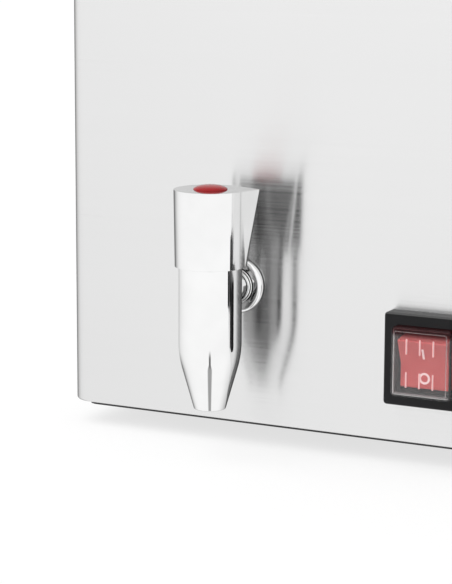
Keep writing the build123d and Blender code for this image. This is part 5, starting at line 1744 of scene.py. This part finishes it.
@dataclass
class CaseScrews:
    """Screws of the rear panel, the base and the feet. Sizes in millimetres."""

    screws: PanScrews = field(default_factory=PanScrews)
    rear_out: float = 282.85
    rear_x: float = 150.6
    rear_levels: tuple[float, ...] = (37.624, 125.1, 212.576)
    base_level: float = 9.0
    base_x: float = 157.8
    middle_y: float = 13.05
    base_ys: tuple[float, ...] = (53.8, 193.68)
    foot_level: float = 4.5
    foot_x: float = 119.0
    foot_ys: tuple[float, ...] = (207.0,)
    grip: float = 5.0
    foot_grip: float = 9.7

    def rear_places(self) -> list[Matrix]:
        """Places on the rear panel, heads facing away from the machine.

        Returns:
            Turn and place of each screw.
        """
        turn = Matrix.Rotation(math.radians(-90), 4, "X")
        return [
            Matrix.Translation(metres(side * self.rear_x, self.rear_out, level)) @ turn
            for side, level in product((-1, 1), self.rear_levels)
        ]

    def under_places(self, x: float, spreads: Sequence[float], level: float) -> list[Matrix]:
        """Places below the machine, heads facing down.

        Args:
            x: Distance from the machine's middle to each side.
            spreads: Distances from its middle to the front and to the back.
            level: Level of the heads' seats.

        Returns:
            Turn and place of each screw.
        """
        turn = Matrix.Rotation(math.radians(180), 4, "X")
        return [
            Matrix.Translation(metres(side * x, self.middle_y + end * spread, level)) @ turn
            for spread, side, end in product(spreads, (-1, 1), (-1, 1))
        ]

    def build(self, wardrobe: Wardrobe) -> None:
        """Build and dress the screws.

        Args:
            wardrobe: Where the finishes come from.
        """
        base = self.under_places(self.base_x, self.base_ys, self.base_level)
        feet = self.under_places(self.foot_x, self.foot_ys, self.foot_level)
        for name, node, grip, places in (
            ("rear_recessed_screws", "rear_panel_screws", self.grip, self.rear_places()),
            ("base_recessed_screws", "base_screws", self.grip, base),
            ("foot_recessed_screws", "foot_screws", self.foot_grip, feet),
        ):
            screws = self.screws.build_set(name, grip, places)
            wardrobe.dress(screws, Slot.FASTENER_STEEL, Body.CASE, node)


# Studio


@dataclass
class Studio:
    """Camera, floor and soft light. Lengths in metres, angles in degrees, limits as parts of a direction."""

    eye: Point = (0.2946, -1.01285, 0.22065)
    azimuth: float = 27.04
    elevation: float = 10.41
    roll: float = 0.24
    lens: float = 127.93
    floor_side: float = 14.0
    floor_tint: Colour = (0.30, 0.30, 0.30)
    floor_glow: float = 0.72
    fill: float = 0.62
    bounce_loss: float = 0.45
    bounces_free: float = 2.0
    loss_limits: Limits = (-0.4, -0.2)
    rear_tone: float = 0.72
    stand_dark: float = 0.85
    stand_width: float = 0.075
    stand_ahead: Limits = (0.2, 0.3)
    stand_below: Limits = (0.25, 0.45)
    foot_below: Limits = (0.54, 0.66)
    foot_flare: float = 1.2
    foot_lift: float = 0.22
    gloom: float = 0.85
    gloom_azimuth: float = 5.0
    gloom_core: float = 25.0
    gloom_reach: float = 45.0
    gloom_below: Limits = (-0.05, 0.05)
    gloom_bounce: float = 1.5
    sun_power: float = 1.35
    sun_spread: float = 70.0
    sun_from: Point = (-0.55, -0.75, 1.15)

    @staticmethod
    def heading(degrees: float) -> Vector:
        """Level direction at an azimuth, from the machine's front towards its right."""
        turn = math.radians(degrees)
        return Vector((math.sin(turn), -math.cos(turn), 0.0))

    def build_camera(self) -> None:
        """Place the camera where the photograph was taken from."""
        rise, roll = math.radians(self.elevation), math.radians(self.roll)
        back = self.heading(self.azimuth) * math.cos(rise) + Z_AXIS * math.sin(rise)
        right = self.heading(self.azimuth + 90)
        up = back.cross(right)
        across = math.cos(roll) * right + math.sin(roll) * up
        upward = -math.sin(roll) * right + math.cos(roll) * up
        data = bpy.data.cameras.new("camera")
        data.lens = self.lens
        data.sensor_width = 36.0
        data.clip_start = 0.01
        camera = bpy.data.objects.new("camera", data)
        axes = Matrix((across, upward, back)).transposed().to_4x4()
        camera.matrix_world = Matrix.Translation(Vector(self.eye)) @ axes
        bpy.context.scene.collection.objects.link(camera)
        bpy.context.scene.camera = camera

    def build_floor(self) -> None:
        """Plain pale floor, lit for the eye alone."""
        Bench.clear()
        bpy.ops.mesh.primitive_plane_add(size=self.floor_side, location=ORIGIN)
        floor = Bench.named("studio_floor")
        sketch = Sketch("pale studio floor")
        seen = sketch.node("ShaderNodeLightPath").outputs["Is Camera Ray"]
        glow = sketch.span(seen, 0.0, self.floor_glow, UNIT)
        sketch.put(base_color=self.floor_tint, roughness=0.9, specular_ior_level=0.1)
        sketch.put(emission_color=WHITE, emission_strength=glow)
        floor.data.materials.append(sketch.material)
        floor.visible_glossy = False

    def stand_tone(self, sky: Sky, down: Socket, share: Socket) -> Socket:
        """Light left by a slim dark stand in front of the machine, wider and paler at its foot.

        Args:
            sky: The surroundings.
            down: How far a ray goes down.
            share: Signal of 1 for the rays that see the stand.

        Returns:
            The part of the light that is left, from 0 to 1.
        """
        aside = sky.reckon("ABSOLUTE", sky.along(self.heading(self.azimuth + 90)))
        foot = sky.ramp(down, self.foot_below)
        slim = sky.reckon("DIVIDE", aside, sky.reckon("MULTIPLY_ADD", foot, self.foot_flare, 1.0))
        stand = sky.product(
            sky.reckon("SUBTRACT", 1.0, sky.ramp(slim, (0.5 * self.stand_width, self.stand_width))),
            sky.ramp(sky.along(self.heading(self.azimuth)), self.stand_ahead),
            sky.ramp(down, self.stand_below),
            share,
            sky.reckon("MULTIPLY_ADD", foot, self.foot_lift, -self.stand_dark),
        )
        return sky.reckon("ADD", stand, 1.0)

    def gloom_tone(self, sky: Sky, down: Socket, share: Socket) -> Socket:
        """Light left by a wide gloom low in front of the machine.

        Args:
            sky: The surroundings.
            down: How far a ray goes down.
            share: Signal of 1 for the rays that see the gloom.

        Returns:
            The part of the light that is left, from 0 to 1.
        """
        limits = (math.cos(math.radians(self.gloom_reach)), math.cos(math.radians(self.gloom_core)))
        front = sky.ramp(sky.along(self.heading(self.gloom_azimuth)), limits)
        gloom = sky.product(front, sky.ramp(down, self.gloom_below), share)
        return sky.reckon("MULTIPLY_ADD", gloom, -self.gloom, 1.0)

    def build_sky(self) -> None:
        """White surroundings for the eye, the gloss and the glass, softer for the rest.

        Gloss sees them a little greyer behind the machine, with a dark stand in front of it. Gloss seen in
        gloss also sees a gloom in front, and they get darker with each further bounce.
        """
        world = bpy.data.worlds.new("studio")
        bpy.context.scene.world = world
        world.use_nodes = True
        sky = Sky(world.node_tree, "Background", "Generated")
        path = sky.node("ShaderNodeLightPath").outputs
        down = sky.along(-Z_AXIS)
        gloss, depth = path["Is Glossy Ray"], path["Glossy Depth"]
        seen = sky.reckon("MAXIMUM", gloss, path["Is Transmission Ray"])
        seen = sky.reckon("MAXIMUM", seen, path["Is Camera Ray"])
        level = sky.reckon("MULTIPLY_ADD", seen, 1.0 - self.fill, self.fill)
        further = sky.reckon("MAXIMUM", sky.reckon("SUBTRACT", depth, self.bounces_free), 0.0)
        loss = sky.reckon("POWER", self.bounce_loss, sky.product(further, sky.ramp(down, self.loss_limits)))
        stand = self.stand_tone(sky, down, gloss)
        gloom = self.gloom_tone(sky, down, sky.reckon("GREATER_THAN", depth, self.gloom_bounce))
        behind = sky.product(sky.ramp(sky.along(Y_AXIS), UNIT), gloss)
        sky.put(
            strength=sky.product(level, stand, gloom, loss),
            color=sky.blend(behind, WHITE, (self.rear_tone,) * 3),
        )

    def build_light(self) -> None:
        """Wide soft key light from the front left."""
        data = bpy.data.lights.new("soft key", "SUN")
        data.energy = self.sun_power
        data.angle = math.radians(self.sun_spread)
        lamp = bpy.data.objects.new("soft key", data)
        lamp.rotation_mode = "QUATERNION"
        lamp.rotation_quaternion = (-Vector(self.sun_from)).to_track_quat("-Z", "Y")
        lamp.visible_glossy = False
        bpy.context.scene.collection.objects.link(lamp)

    def build(self) -> None:
        """Set up the studio."""
        bpy.context.scene.view_settings.view_transform = "Standard"
        self.build_camera()
        self.build_floor()
        self.build_sky()
        self.build_light()


def main() -> None:
    """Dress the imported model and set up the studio."""
    logging.basicConfig(level=logging.INFO, format="%(name)s: %(message)s")
    wardrobe = Wardrobe()
    wardrobe.dress_nodes()
    DrainTap().build(wardrobe)
    RockerSwitch().build(wardrobe)
    DialMarks().build(wardrobe)
    CaseScrews().build(wardrobe)
    Studio().build()
    Bench.clear()


if __name__ == "__main__":
    main()
